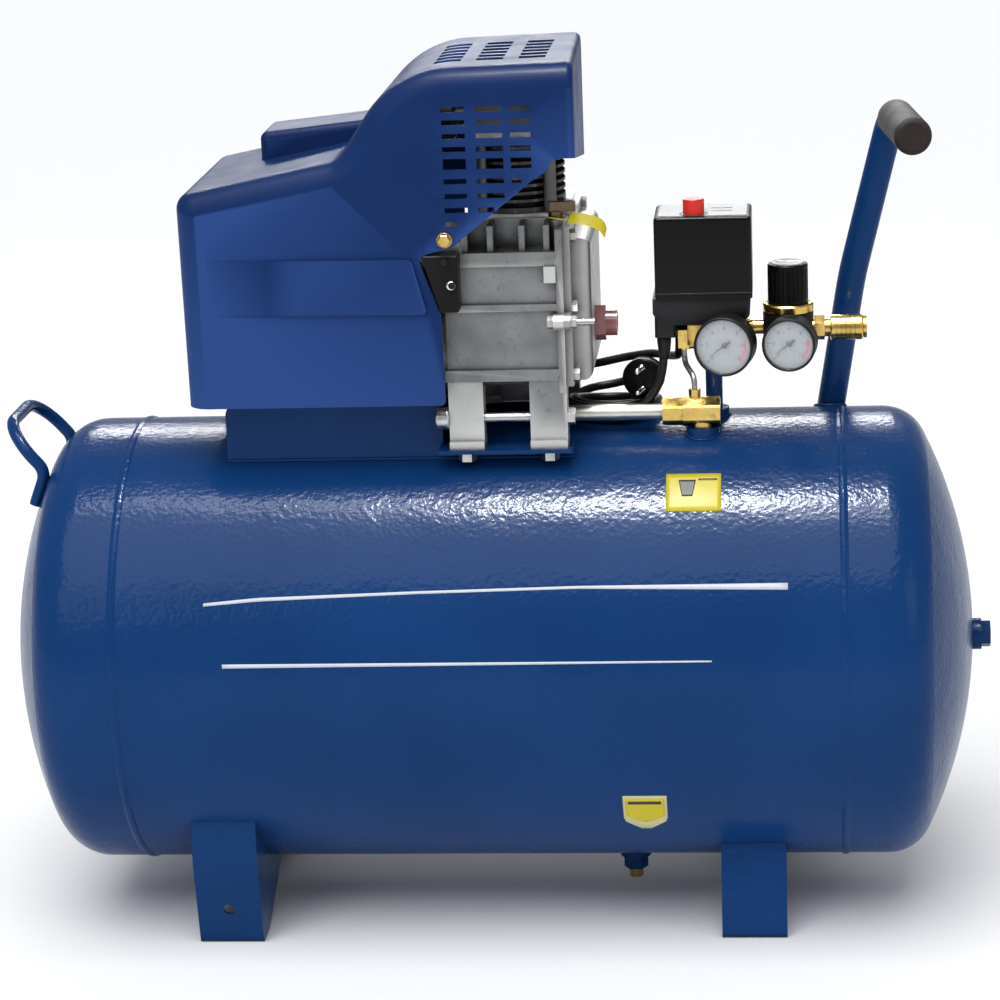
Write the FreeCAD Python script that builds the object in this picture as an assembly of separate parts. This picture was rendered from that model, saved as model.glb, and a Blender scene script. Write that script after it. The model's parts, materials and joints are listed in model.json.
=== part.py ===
import FreeCAD, Part
import math
import os

# Direct-driven piston air compressor on a horizontal 100 litre tank, millimetres.
# Everything is modelled about the tank's centre: X along the tank, -Y to the front, Z up.
# save() then lifts it so that the origin is on the floor, under the middle of the object.

V = FreeCAD.Vector

# ---- driving dimensions ----
TANK_R = 200.0
TANK_HALF = 428.0
TANK_WALL = 3.0
SEAM_X = 313.0
KNUCKLE_R = 40.0
CROWN_R = 400.0
FLOOR_Z = -240.0
MID_X = 7.75

FOOT_X = 231.5
FOOT_WIDTH = 57.0
FOOT_PLATE = 3.0
AXLE_BORE_R = 5.0
AXLE_BORE_Z = -206.0

SHAFT_Z = 300.0
SHAFT_R = 10.0
THROW = 22.0
ROD_LENGTH = 110.0
CYL_X = 35.0
BORE_R = 25.5
LINER_R = 33.0
DECK_Z = 390.0
LINER_TOP = 456.5
PLATE_T = 6.0
HEAD_H = 34.0
HEAD_HALF = 40.0
PIN_R = 9.0
WRIST_R = 6.0

CASE_X0, CASE_X1 = -24.0, 78.0
CASE_Y = 92.0
CASE_Z0, CASE_Z1 = 246.0, 367.0
CASE_WALL = 10.0
BAND = 4.0
LEG_Y0, LEG_Y1 = 75.0, 95.0
RAIL_TOP = 196.0
RAIL_Y = 76.0
RAIL_T = 3.0
RAIL_END = 82.0
FOOT_BOLTS = ((-10, -88), (62, -88), (-10, 88), (68, 88))
TIE_RODS = ((-89.0, 222.0), (89.0, 231.0))
FILLER_X, FILLER_Y = 72.0, -72.0

STATOR_R = 74.0
STATOR_X0, STATOR_X1 = -150.0, -60.0
WINDING_R0, WINDING_R1 = 46.0, 66.0
OVERHANG = 28.0
ROTOR_R = 41.5
THROUGH_R = 84.0
RIM_R = 79.5
BEARING_R = 23.5
BEARING_W = 14.0
FAN_X0, FAN_X1 = -240.0, -208.0
FAN_R = 84.0

SHROUD_Y = 118.0
SHROUD_WALL = 3.0
SHROUD_RIGHT = 93.0
SLANT = 7.0

PIPE_X = 202.0
MANIFOLD_Z = 274.0
REG_X, REG_Y, REG_Z = 268.0, -10.0, 279.0
VALVE_X, VALVE_Y, VALVE_Z = 192.0, -45.0, 216.0
TUBE_R = 7.0
DRAIN_X, DRAIN_Y = 122.0, -8.0
GAUGE_FACE_Y = -75.0
CORD_R = 3.8
COIL_X, COIL_Y = 108.0, 22.0
COIL_OUT, COIL_IN = 49.3, 26.7
FIT = 0.03

os.makedirs("parts", exist_ok=True)


def save(name, shape):
    """Stand the finished piece on the floor frame and write its STEP file."""
    placed = shape.copy()
    placed.translate(V(-MID_X, 0, -FLOOR_Z))
    placed.exportStep("parts/" + name + ".step")
    size = placed.BoundBox
    print(name, len(placed.Solids), "solids", placed.isValid(), round(placed.Volume / 1000.0, 2), "cm3",
          [round(v) for v in (size.XMin, size.XMax, size.YMin, size.YMax, size.ZMin, size.ZMax)])


def group(shapes):
    return Part.makeCompound(shapes)


def fuse(shapes):
    whole = shapes[0].multiFuse(shapes[1:])
    return whole.removeSplitter()


def block(x0, x1, y0, y1, z0, z1):
    return Part.makeBox(x1 - x0, y1 - y0, z1 - z0, V(x0, y0, z0))


def rod_x(x0, x1, y, z, radius):
    return Part.makeCylinder(radius, x1 - x0, V(x0, y, z), V(1, 0, 0))


def rod_y(y0, y1, x, z, radius):
    return Part.makeCylinder(radius, y1 - y0, V(x, y0, z), V(0, 1, 0))


def rod_z(z0, z1, x, y, radius):
    return Part.makeCylinder(radius, z1 - z0, V(x, y, z0), V(0, 0, 1))


def hex_prism(start, direction, flats, height):
    """A hexagon bar between two parallel faces, start at its first face's centre."""
    across = flats / math.sqrt(3.0)
    points = []
    for i in range(7):
        angle = math.radians(60.0 * i)
        points.append(V(across * math.cos(angle), across * math.sin(angle), 0))
    bar = Part.Face(Part.makePolygon(points)).extrude(V(0, 0, height))
    bar.Placement = FreeCAD.Placement(start, FreeCAD.Rotation(V(0, 0, 1), direction))
    return bar


def corner(before, point, after, radius):
    """Start, middle and end of the tangent arc that rounds one corner."""
    back = (before - point).normalize()
    ahead = (after - point).normalize()
    half_turn = (math.pi - back.getAngle(ahead)) / 2.0
    reach = radius * math.tan(half_turn)
    inward = (back + ahead).normalize()
    middle = point + inward * (radius / math.cos(half_turn) - radius)
    return point + back * reach, middle, point + ahead * reach


def outline(points, radii):
    """Closed wire through points, each corner rounded by its own radius."""
    edges = []
    count = len(points)
    arcs = []
    for i in range(count):
        if radii[i] > 0:
            arcs.append(corner(points[i - 1], points[i], points[(i + 1) % count], radii[i]))
        else:
            arcs.append((points[i], None, points[i]))
    for i in range(count):
        start, middle, end = arcs[i]
        if middle is not None:
            edges.append(Part.Arc(start, middle, end).toShape())
        edges.append(Part.LineSegment(end, arcs[(i + 1) % count][0]).toShape())
    return Part.Wire(edges)


def in_xz(pairs, y=0.0):
    return [V(a, y, b) for a, b in pairs]


def in_yz(pairs, x=0.0):
    return [V(x, a, b) for a, b in pairs]


def prism(points, radii, depth):
    return Part.Face(outline(points, radii)).extrude(depth)


def bent_path(points, radii):
    edges = []
    here = points[0]
    for i in range(1, len(points) - 1):
        start, middle, end = corner(points[i - 1], points[i], points[i + 1], radii[i - 1])
        edges.append(Part.LineSegment(here, start).toShape())
        edges.append(Part.Arc(start, middle, end).toShape())
        here = end
    edges.append(Part.LineSegment(here, points[-1]).toShape())
    return Part.Wire(edges)


def bar(points, radii, radius):
    """A round bar swept along straight runs joined by tangent arcs."""
    path = bent_path(points, radii)
    section = Part.Wire(Part.Circle(points[0], points[1] - points[0], radius).toShape())
    return path.makePipeShell([section], True, False)


def cord(name, points, radius):
    """A cord's tube, each bend as wide as the two runs beside it allow."""
    radii = []
    for i in range(1, len(points) - 1):
        back = points[i - 1] - points[i]
        ahead = points[i + 1] - points[i]
        half_turn = (math.pi - back.getAngle(ahead)) / 2.0
        radii.append(0.45 * min(back.Length, ahead.Length) / math.tan(half_turn))
    tube = bar(points, radii, radius)
    length = bent_path(points, radii).Length
    ratio = tube.Volume / (math.pi * radius * radius * length)
    print(name, "length", round(length), "radii", [round(r) for r in radii], "volume ratio", round(ratio, 4))
    return tube


def mirrored(shape):
    return shape.mirror(V(0, 0, 0), V(0, 1, 0))


# ---- tank ----
def head_outline(inset):
    """Half section of a dished end: straight flange, knuckle arc and crown arc."""
    crown_centre = TANK_HALF - CROWN_R
    tangent = math.asin((TANK_R - KNUCKLE_R) / (CROWN_R - KNUCKLE_R))
    knuckle_x = crown_centre + (CROWN_R - KNUCKLE_R) * math.cos(tangent)
    knuckle_z = TANK_R - KNUCKLE_R
    small = KNUCKLE_R - inset
    big = CROWN_R - inset
    middle = (tangent + math.pi / 2.0) / 2.0

    def on(centre_x, centre_z, size, angle):
        return V(centre_x + size * math.cos(angle), 0, centre_z + size * math.sin(angle))

    return {
        "rim": V(SEAM_X, 0, TANK_R - inset),
        "shoulder": V(knuckle_x, 0, TANK_R - inset),
        "knuckle": on(knuckle_x, knuckle_z, small, middle),
        "tangent": on(knuckle_x, knuckle_z, small, tangent),
        "crown": on(crown_centre, 0, big, tangent / 2.0),
        "pole": V(TANK_HALF - inset, 0, 0),
    }


def head_edges(mark):
    return [
        Part.LineSegment(mark["rim"], mark["shoulder"]).toShape(),
        Part.Arc(mark["shoulder"], mark["knuckle"], mark["tangent"]).toShape(),
        Part.Arc(mark["tangent"], mark["crown"], mark["pole"]).toShape(),
    ]


def dished_head():
    outside = head_outline(0.0)
    inside = head_outline(TANK_WALL)
    edges = head_edges(outside) + head_edges(inside)
    edges.append(Part.LineSegment(outside["rim"], inside["rim"]).toShape())
    edges.append(Part.LineSegment(outside["pole"], inside["pole"]).toShape())
    wire = Part.Wire(Part.__sortEdges__(edges))
    return Part.Face(wire).revolve(V(0, 0, 0), V(1, 0, 0), 360)


def full_tank():
    """The tank's outer volume, which trims what is welded to it."""
    mark = head_outline(0.0)
    edges = head_edges(mark)
    edges.append(Part.LineSegment(mark["pole"], V(SEAM_X, 0, 0)).toShape())
    edges.append(Part.LineSegment(V(SEAM_X, 0, 0), mark["rim"]).toShape())
    end = Part.Face(Part.Wire(Part.__sortEdges__(edges))).revolve(V(0, 0, 0), V(1, 0, 0), 360)
    other = end.mirror(V(0, 0, 0), V(1, 0, 0))
    return fuse([rod_x(-SEAM_X, SEAM_X, 0, 0, TANK_R), end, other])


def girth_bead(x):
    """A low round weld bead around the tank."""
    ring = Part.makeTorus(TANK_R - 4.0, 5.4, V(x, 0, 0), V(1, 0, 0))
    return ring.common(rod_x(x - 6, x + 6, 0, 0, TANK_R + 10).cut(rod_x(x - 6, x + 6, 0, 0, TANK_R)))


TANK = full_tank()
BEADS = [girth_bead(-SEAM_X + 0.5), girth_bead(SEAM_X - 0.5)]
PORTS = [
    rod_z(150, 260, PIPE_X, 0, 5.0),
    rod_z(150, 260, VALVE_X, VALVE_Y, 5.0),
    rod_z(-260, -150, DRAIN_X, DRAIN_Y, 5.0),
    rod_x(400, 460, 0, -6, 5.0),
]


def build_tank():
    shell = rod_x(-SEAM_X, SEAM_X, 0, 0, TANK_R).cut(rod_x(-SEAM_X, SEAM_X, 0, 0, TANK_R - TANK_WALL))
    shell = fuse([shell] + BEADS)
    for port in PORTS[:3]:
        shell = shell.cut(port)
    save("tank_shell", shell)
    right = dished_head()
    left = right.mirror(V(0, 0, 0), V(1, 0, 0))
    save("tank_heads", group([left, right.cut(PORTS[3])]))
    pipe_socket = rod_z(190, 207, PIPE_X, 0, 13.0).cut(rod_z(180, 210, PIPE_X, 0, 7.5))
    valve_socket = rod_z(180, 200.5, VALVE_X, VALVE_Y, 14.0).cut(rod_z(150, 210, VALVE_X, VALVE_Y, 5.0))
    drain_socket = rod_z(-212, -190, DRAIN_X, DRAIN_Y, 14.0).cut(rod_z(-220, -150, DRAIN_X, DRAIN_Y, 5.0))
    end_socket = rod_x(420, 436, 0, -6, 14.0).cut(rod_x(400, 440, 0, -6, 8.0))
    end_plug = fuse([hex_prism(V(436, 0, -6), V(1, 0, 0), 21.0, 8.0), rod_x(428.5, 436, 0, -6, 8.0)])
    sockets = [shape.cut(TANK) for shape in (pipe_socket, valve_socket, drain_socket, end_socket)]
    save("tank_sockets", group(sockets + [end_plug]))


# ---- feet and handles ----
def foot_leg(side_points, side_radii, plate_points, plate_radii):
    """One folded leg of a foot bracket: two side plates, a front web and a flat sole."""
    half = FOOT_WIDTH / 2.0
    outer = prism(in_yz(side_points, -half), side_radii, V(FOOT_WIDTH, 0, 0))
    inner = prism(in_yz(plate_points, -half + FOOT_PLATE), plate_radii, V(FOOT_WIDTH - 2 * FOOT_PLATE, 0, 0))
    return outer.cut(inner)


def build_feet():
    sole = FLOOR_Z
    top = FLOOR_Z + FOOT_PLATE
    left_side = [(-156, -100), (-163, -160), (-148, sole), (-118, sole), (-40, -206), (-30, -150)]
    left_hollow = [(-153, -100), (-160, -160), (-145.4, top), (-30, top), (-20, -150)]
    right_side = [(-121, -140), (-142, sole), (-112, sole), (-40, -207), (-30, -150)]
    right_hollow = [(-118, -140), (-138.8, top), (-30, top), (-20, -150)]
    left = foot_leg(left_side, [0, 3, 4, 0, 0, 0], left_hollow, [0, 0, 1, 0, 0])
    left = left.cut(rod_y(-200, -120, 0, AXLE_BORE_Z, AXLE_BORE_R))
    right = foot_leg(right_side, [0, 4, 0, 0, 0], right_hollow, [0, 1, 0, 0])
    for name, leg, x in (("left_foot_bracket", left, -FOOT_X), ("right_foot_bracket", right, FOOT_X)):
        leg.translate(V(x, 0, 0))
        leg = leg.cut(TANK)
        save(name, group([leg, mirrored(leg)]))


def build_handles():
    reach = 60.0
    route = [V(-401, -reach, 142), V(-389.5, -reach, 172), V(-423, -reach, 211)]
    route += [V(-423, reach, 211), V(-389.5, reach, 172), V(-401, reach, 142)]
    bail = bar(route, [16.0, 36.0, 36.0, 16.0], 5.5)
    save("carry_handle", bail.cut(TANK))
    bend = V(361, 58, 455)
    along = V(14, -125, -2).normalize()
    start = bend + along * 20.0
    tube_r = 12.5
    covered = 97.0
    post = [V(303.5, 58, 182), V(325, 58, 312), bend, start + along * covered]
    handle = bar(post, [400.0, 19.0], tube_r)
    save("push_handle", handle.cut(TANK).cut(BEADS[1]))
    grip = Part.makeCylinder(16.2, covered + 9.0, start, along)
    grip = grip.makeFillet(5.0, [grip.Edges[0], grip.Edges[2]])
    socket = Part.makeCylinder(tube_r, covered, start, along)
    save("handle_grip", grip.cut(socket))


# ---- rails, crankcase and cover ----
def build_rails():
    web = block(-222, RAIL_END, -RAIL_Y - RAIL_T, -RAIL_Y, 150, RAIL_TOP)
    tall = prism(in_xz([(-222, 180), (-32, 180), (-32, 238), (-222, 238)], -RAIL_Y - RAIL_T),
                 [0, 0, 8, 14], V(0, RAIL_T, 0))
    flange = block(-34, RAIL_END, -104, -RAIL_Y, RAIL_TOP - RAIL_T, RAIL_TOP)
    rail = fuse([web, tall, flange]).cut(TANK)
    rails = [rail, mirrored(rail)]
    for x, y in FOOT_BOLTS:
        rails = [r.cut(rod_z(180, 200, x, y, 4.2)) for r in rails]
    save("mounting_rails", group(rails))


def ribbed_body():
    """The crankcase's outside: a box with proud bands, a joint flange and a deck, sloping in under the lowest band."""
    parts = [block(CASE_X0, CASE_X1, -CASE_Y, CASE_Y, CASE_Z0, CASE_Z1)]
    for side in (-1, 1):
        corner = [(side * 97, 244), (side * 97, 255), (side * 86, 255), (side * 70, 246)]
        parts[0] = parts[0].cut(prism(in_yz(corner + [(side * 70, 244)], -40), [0] * 5, V(160, 0, 0)))
    for low, high in ((255, 265), (316, 322), (355, CASE_Z1)):
        parts.append(block(CASE_X0 - 2, CASE_X1 - 6, -CASE_Y - BAND, CASE_Y + BAND, low, high))
    parts.append(block(CASE_X1 - 6, CASE_X1, -CASE_Y - BAND, CASE_Y + BAND, CASE_Z0 - 2, DECK_Z - 4))
    parts.append(block(-8, CASE_X1 - 6, -62, 62, CASE_Z1, DECK_Z))
    for x in (-8, 14, 41, 62):
        parts.append(block(x, x + 5, -90, 90, CASE_Z1, DECK_Z - 1))
    parts.append(rod_z(366, 391, FILLER_X, FILLER_Y, 6.0))
    parts.append(block(62, CASE_X1 - 6, -100, -CASE_Y, 341, 355))
    parts.append(rod_x(CASE_X1 - 9, CASE_X1, -101, 307, 6.5))
    parts.append(block(CASE_X1 - 9, CASE_X1, -101, -CASE_Y, 300.5, 313.5))
    return parts


def leg_columns():
    parts = []
    for side, spans in ((-1, ((CASE_X0, 6), (46, CASE_X1))), (1, ((CASE_X0, 6), (58, CASE_X1)))):
        low, high = sorted((side * LEG_Y0, side * LEG_Y1))
        for x0, x1 in spans:
            parts.append(block(x0, x1, low, high, RAIL_TOP, 258))
            parts.append(block(x0, x1, side * 86 - 14, side * 86 + 14, RAIL_TOP, RAIL_TOP + 7))
    parts.append(block(5, 59, 77, 83, RAIL_TOP + 1, 254))
    return parts


def build_crankcase():
    lugs = [rod_x(STATOR_X1 - 6, CASE_X0, 0, SHAFT_Z, RIM_R)]
    for angle in (45, 135, 225, 315):
        y = THROUGH_R * math.cos(math.radians(angle))
        z = SHAFT_Z + THROUGH_R * math.sin(math.radians(angle))
        lugs.append(rod_x(STATOR_X1 - 6, STATOR_X1 + 10, y, z, 8.0))
    body = fuse(ribbed_body() + leg_columns() + lugs)
    cavity = block(CASE_X0 + CASE_WALL, CASE_X1 + 1, -78, 78, 256, 362)
    cavity = cavity.makeFillet(8.0, [e for e in cavity.Edges if abs(e.tangentAt(e.FirstParameter).x) > 0.99])
    body = body.cut(cavity)
    body = body.cut(rod_x(STATOR_X1 - 7, CASE_X0 - 8, 0, SHAFT_Z, STATOR_R + 0.02))
    body = body.cut(block(STATOR_X1 + 8, CASE_X0 - 8, -62, 62, 215, 262))
    body = body.cut(block(STATOR_X1 + 8, CASE_X0 - 8, -40, 40, 350, 400))
    body = body.cut(rod_z(350, DECK_Z + 1, CYL_X, 0, LINER_R + FIT))
    body = fuse([body, rod_x(-30, CASE_X0 + CASE_WALL, 0, SHAFT_Z, BEARING_R + 7)])
    body = body.cut(rod_x(-30, -30 + BEARING_W, 0, SHAFT_Z, BEARING_R))
    body = body.cut(rod_x(-40, 0, 0, SHAFT_Z, 16.0))
    for angle in (45, 135, 225, 315):
        y = THROUGH_R * math.cos(math.radians(angle))
        z = SHAFT_Z + THROUGH_R * math.sin(math.radians(angle))
        body = body.cut(rod_x(STATOR_X1 - 8, STATOR_X1 + 12, y, z, 3.1))
    for x, y in FOOT_BOLTS:
        body = body.cut(rod_z(RAIL_TOP - 1, 218, x, y, 4.1))
    for y, z in TIE_RODS:
        body = body.cut(rod_x(-40, 96, y, z, 4.1))
    body = body.cut(rod_z(360, 395, FILLER_X, FILLER_Y, 4.03))
    body = body.cut(rod_x(60, 90, -101, 307, 3.1))
    body = body.cut(rod_y(70, 90, 48, VALVE_Z - 2, TUBE_R + 2))
    save("crankcase", body)


def build_cover():
    flange = block(CASE_X1, CASE_X1 + 6, -88, 88, 248, 384)
    dome_x = CASE_X1 + 22
    dome = block(CASE_X1, dome_x, -73, 73, 250, 374)
    edges = [e for e in dome.Edges if e.CenterOfMass.x > dome_x - 0.1]
    dome = dome.makeFillet(8.0, edges)
    ear = fuse([rod_x(CASE_X1, CASE_X1 + 6, -101, 307, 6.5), block(CASE_X1, CASE_X1 + 6, -101, -86, 300.5, 313.5)])
    cover = fuse([flange, dome, ear])
    hollow = block(CASE_X1 - 1, dome_x - 5, -68, 68, 258, 362)
    cover = cover.cut(hollow)
    cover = cover.cut(rod_x(dome_x - 8, dome_x + 8, -15, 288, 11.0))
    for y in (-80, 80):
        for z in (256, 316, 378):
            cover = cover.cut(rod_x(CASE_X1 - 1, CASE_X1 + 9, y, z, 3.1))
    cover = cover.cut(rod_x(CASE_X1 - 1, CASE_X1 + 9, -101, 307, 3.1))
    save("crankcase_cover", cover)
    glass = fuse([hex_prism(V(dome_x, -15, 288), V(1, 0, 0), 27.0, 9.0), rod_x(dome_x + 9, dome_x + 19, -15, 288, 11.5),
                  rod_x(dome_x - 8, dome_x, -15, 288, 11.0)])
    glass = glass.cut(rod_x(dome_x + 17, dome_x + 20, -15, 288, 9.0))
    save("sight_glass", glass)
    stem = rod_z(372, 398, FILLER_X, FILLER_Y, 4.0)
    collar = rod_z(391, 398, FILLER_X, FILLER_Y, 6.5)
    tee = block(FILLER_X - 6, FILLER_X + 17, FILLER_Y - 4.5, FILLER_Y + 4.5, 398, 406)
    tee = tee.makeFillet(2.0, [e for e in tee.Edges if abs(e.tangentAt(e.FirstParameter).z) > 0.99])
    save("filler_plug", fuse([stem, collar, tee]))


def build_pump_bolts():
    bolts = []
    for x, y in FOOT_BOLTS:
        head = hex_prism(V(x, y, 184), V(0, 0, 1), 14.0, RAIL_TOP - RAIL_T - 184)
        bolts.append(fuse([head, rod_z(190, 216, x, y, 4.0)]))
    for y, z in TIE_RODS:
        shank = rod_x(-36, CASE_X1 + 6, y, z, 4.0)
        head = rod_x(-36, CASE_X0, y, z, 9.8)
        head = head.makeFillet(2.0, [head.Edges[0], head.Edges[2]])
        nut = hex_prism(V(CASE_X1, y, z), V(1, 0, 0), 13.0, 6.5)
        bolts.append(fuse([shank, head, nut]))
    for y in (-80, 80):
        for z in (256, 316, 378):
            head = hex_prism(V(CASE_X1 + 6, y, z), V(1, 0, 0), 10.0, 5.0)
            bolts.append(fuse([head, rod_x(CASE_X1, CASE_X1 + 8, y, z, 3.0)]))
    clamp = fuse([rod_x(CASE_X1 - 14, 104, -101, 307, 3.0), hex_prism(V(CASE_X1 + 6, -101, 307), V(1, 0, 0), 10.0, 5.0),
                  hex_prism(V(CASE_X1 - 14, -101, 307), V(1, 0, 0), 10.0, 5.0)])
    bolts.append(clamp)
    save("pump_bolts", group(bolts))


# ---- cylinder, valve plate and head ----
def build_cylinder():
    bottom = 356.0
    parts = [rod_z(bottom, LINER_TOP, CYL_X, 0, LINER_R)]
    parts.append(rod_z(DECK_Z, DECK_Z + 5, CYL_X, 0, 40.0))
    parts.append(rod_z(LINER_TOP - 6, LINER_TOP, CYL_X, 0, 40.0))
    fins = 8
    for i in range(fins):
        z = DECK_Z + 10 + i * 6.6
        parts.append(rod_z(z, z + 2.4, CYL_X, 0, 41.0))
    for x in (-1, 1):
        for y in (-1, 1):
            parts.append(rod_z(DECK_Z, LINER_TOP, CYL_X + x * 29, y * 29, 6.0))
    barrel = fuse(parts).cut(rod_z(bottom - 1, LINER_TOP + 1, CYL_X, 0, BORE_R))
    for x in (-1, 1):
        for y in (-1, 1):
            barrel = barrel.cut(rod_z(DECK_Z - 1, LINER_TOP + 1, CYL_X + x * 29, y * 29, 3.1))
    barrel = barrel.cut(rod_z(bottom - 1, DECK_Z, CYL_X, 0, LINER_R + 20).cut(
        rod_z(bottom - 1, DECK_Z, CYL_X, 0, LINER_R)))
    save("cylinder", barrel)

    plate = block(CYL_X - 38, CYL_X + 38, -38, 38, LINER_TOP, LINER_TOP + PLATE_T)
    for y in (-12, 12):
        for i in range(3):
            plate = plate.cut(rod_z(LINER_TOP - 1, LINER_TOP + PLATE_T + 1, CYL_X - 8 + 8 * i, y, 2.5))
    base = LINER_TOP + PLATE_T
    top = base + HEAD_H
    head_block = block(CYL_X - HEAD_HALF, CYL_X + HEAD_HALF, -HEAD_HALF, HEAD_HALF, base, top)
    for i in range(6):
        x = CYL_X - 31 + i * 11
        head_block = head_block.cut(block(x, x + 6, -HEAD_HALF - 1, HEAD_HALF + 1, base + 22, top + 1))
    for y0, y1 in ((-26, -3), (3, 26)):
        head_block = head_block.cut(block(CYL_X - 24, CYL_X + 24, y0, y1, base - 1, base + 16))
    head_block = fuse([head_block, rod_y(HEAD_HALF, HEAD_HALF + 8, 48, base + 15, 9.0)])
    head_block = head_block.cut(rod_y(20, HEAD_HALF + 9, 48, base + 15, 5.0))
    head_block = head_block.cut(rod_x(-30, 20, -14, base + 10, 7.0))
    bolts = []
    for x in (-1, 1):
        for y in (-1, 1):
            px, py = CYL_X + x * 29, y * 29
            plate = plate.cut(rod_z(LINER_TOP - 1, base + 1, px, py, 3.1))
            head_block = head_block.cut(rod_z(base - 1, top + 1, px, py, 3.1))
            shank = rod_z(DECK_Z, top, px, py, 3.0)
            bolts.append(fuse([shank, hex_prism(V(px, py, top), V(0, 0, 1), 10.0, 6.0)]))
    save("valve_plate", plate)
    save("cylinder_head", head_block)
    save("head_bolts", group(bolts))
    can = rod_x(-46, -16, -14, base + 10, 20.0)
    can = can.makeFillet(3.0, [can.Edges[0], can.Edges[2]])
    neck = rod_x(-20, 12, -14, base + 10, 6.95)
    save("intake_filter", fuse([can, neck]).cut(rod_x(-40, 13, -14, base + 10, 5.0)))


# ---- crank train ----
def build_crank_train():
    web_x0, web_x1 = 10.0, 22.0
    shaft = rod_x(FAN_X0, web_x0, 0, SHAFT_Z, SHAFT_R)
    disc = rod_x(web_x0, web_x1, 0, SHAFT_Z, 40.0)
    for side in (-1, 1):
        y0, y1 = sorted((side * 15, side * 60))
        disc = disc.cut(block(web_x0 - 1, web_x1 + 1, y0, y1, SHAFT_Z - 60, SHAFT_Z + 2))
    save("crankshaft", fuse([shaft, disc]))
    pin_z = SHAFT_Z - THROW
    wrist_z = pin_z + ROD_LENGTH
    rod_x0, rod_x1 = 25.0, 45.0
    big = rod_x(rod_x0, rod_x1, 0, pin_z, 17.0)
    small = rod_x(rod_x0 + 1, rod_x1 - 1, 0, wrist_z, 11.0)
    shank = prism(in_yz([(-8, pin_z), (8, pin_z), (6, wrist_z), (-6, wrist_z)], 29.0), [0] * 4, V(12, 0, 0))
    rod = fuse([big, small, shank])
    rod = rod.cut(rod_x(rod_x0, rod_x1, 0, pin_z, PIN_R))
    rod = rod.cut(rod_x(rod_x0, rod_x1, 0, wrist_z, WRIST_R + FIT))
    pin = rod_x(web_x1 + 0.4, 48.0, 0, pin_z, PIN_R)
    save("connecting_rod", group([rod, pin]))
    crown = wrist_z + 24.0
    piston = rod_z(wrist_z - 17, crown, CYL_X, 0, BORE_R - 0.05)
    hollow = rod_z(wrist_z - 18, crown - 6, CYL_X, 0, BORE_R - 4)
    bosses = []
    for x0, x1 in ((CYL_X - 24, CYL_X - 11), (CYL_X + 11, CYL_X + 24)):
        bosses.append(rod_x(x0, x1, 0, wrist_z, 10.0))
    inner = rod_z(wrist_z - 17, crown, CYL_X, 0, BORE_R - 1)
    piston = fuse([piston.cut(hollow)] + [b.common(inner) for b in bosses])
    piston = piston.cut(rod_x(CYL_X - 30, CYL_X + 30, 0, wrist_z, WRIST_R))
    rings = []
    for z in (crown - 5, crown - 10):
        groove = rod_z(z - 2, z, CYL_X, 0, 30).cut(rod_z(z - 2, z, CYL_X, 0, BORE_R - 2.2))
        piston = piston.cut(groove)
        rings.append(rod_z(z - 2, z, CYL_X, 0, BORE_R - 0.03).cut(rod_z(z - 2, z, CYL_X, 0, BORE_R - 2.2)))
    save("piston", piston)
    save("piston_rings", group(rings))
    wrist = rod_x(CYL_X - 21, CYL_X + 21, 0, wrist_z, WRIST_R)
    save("wrist_pin", wrist.cut(rod_x(CYL_X - 22, CYL_X + 22, 0, wrist_z, 3.0)))


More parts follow.
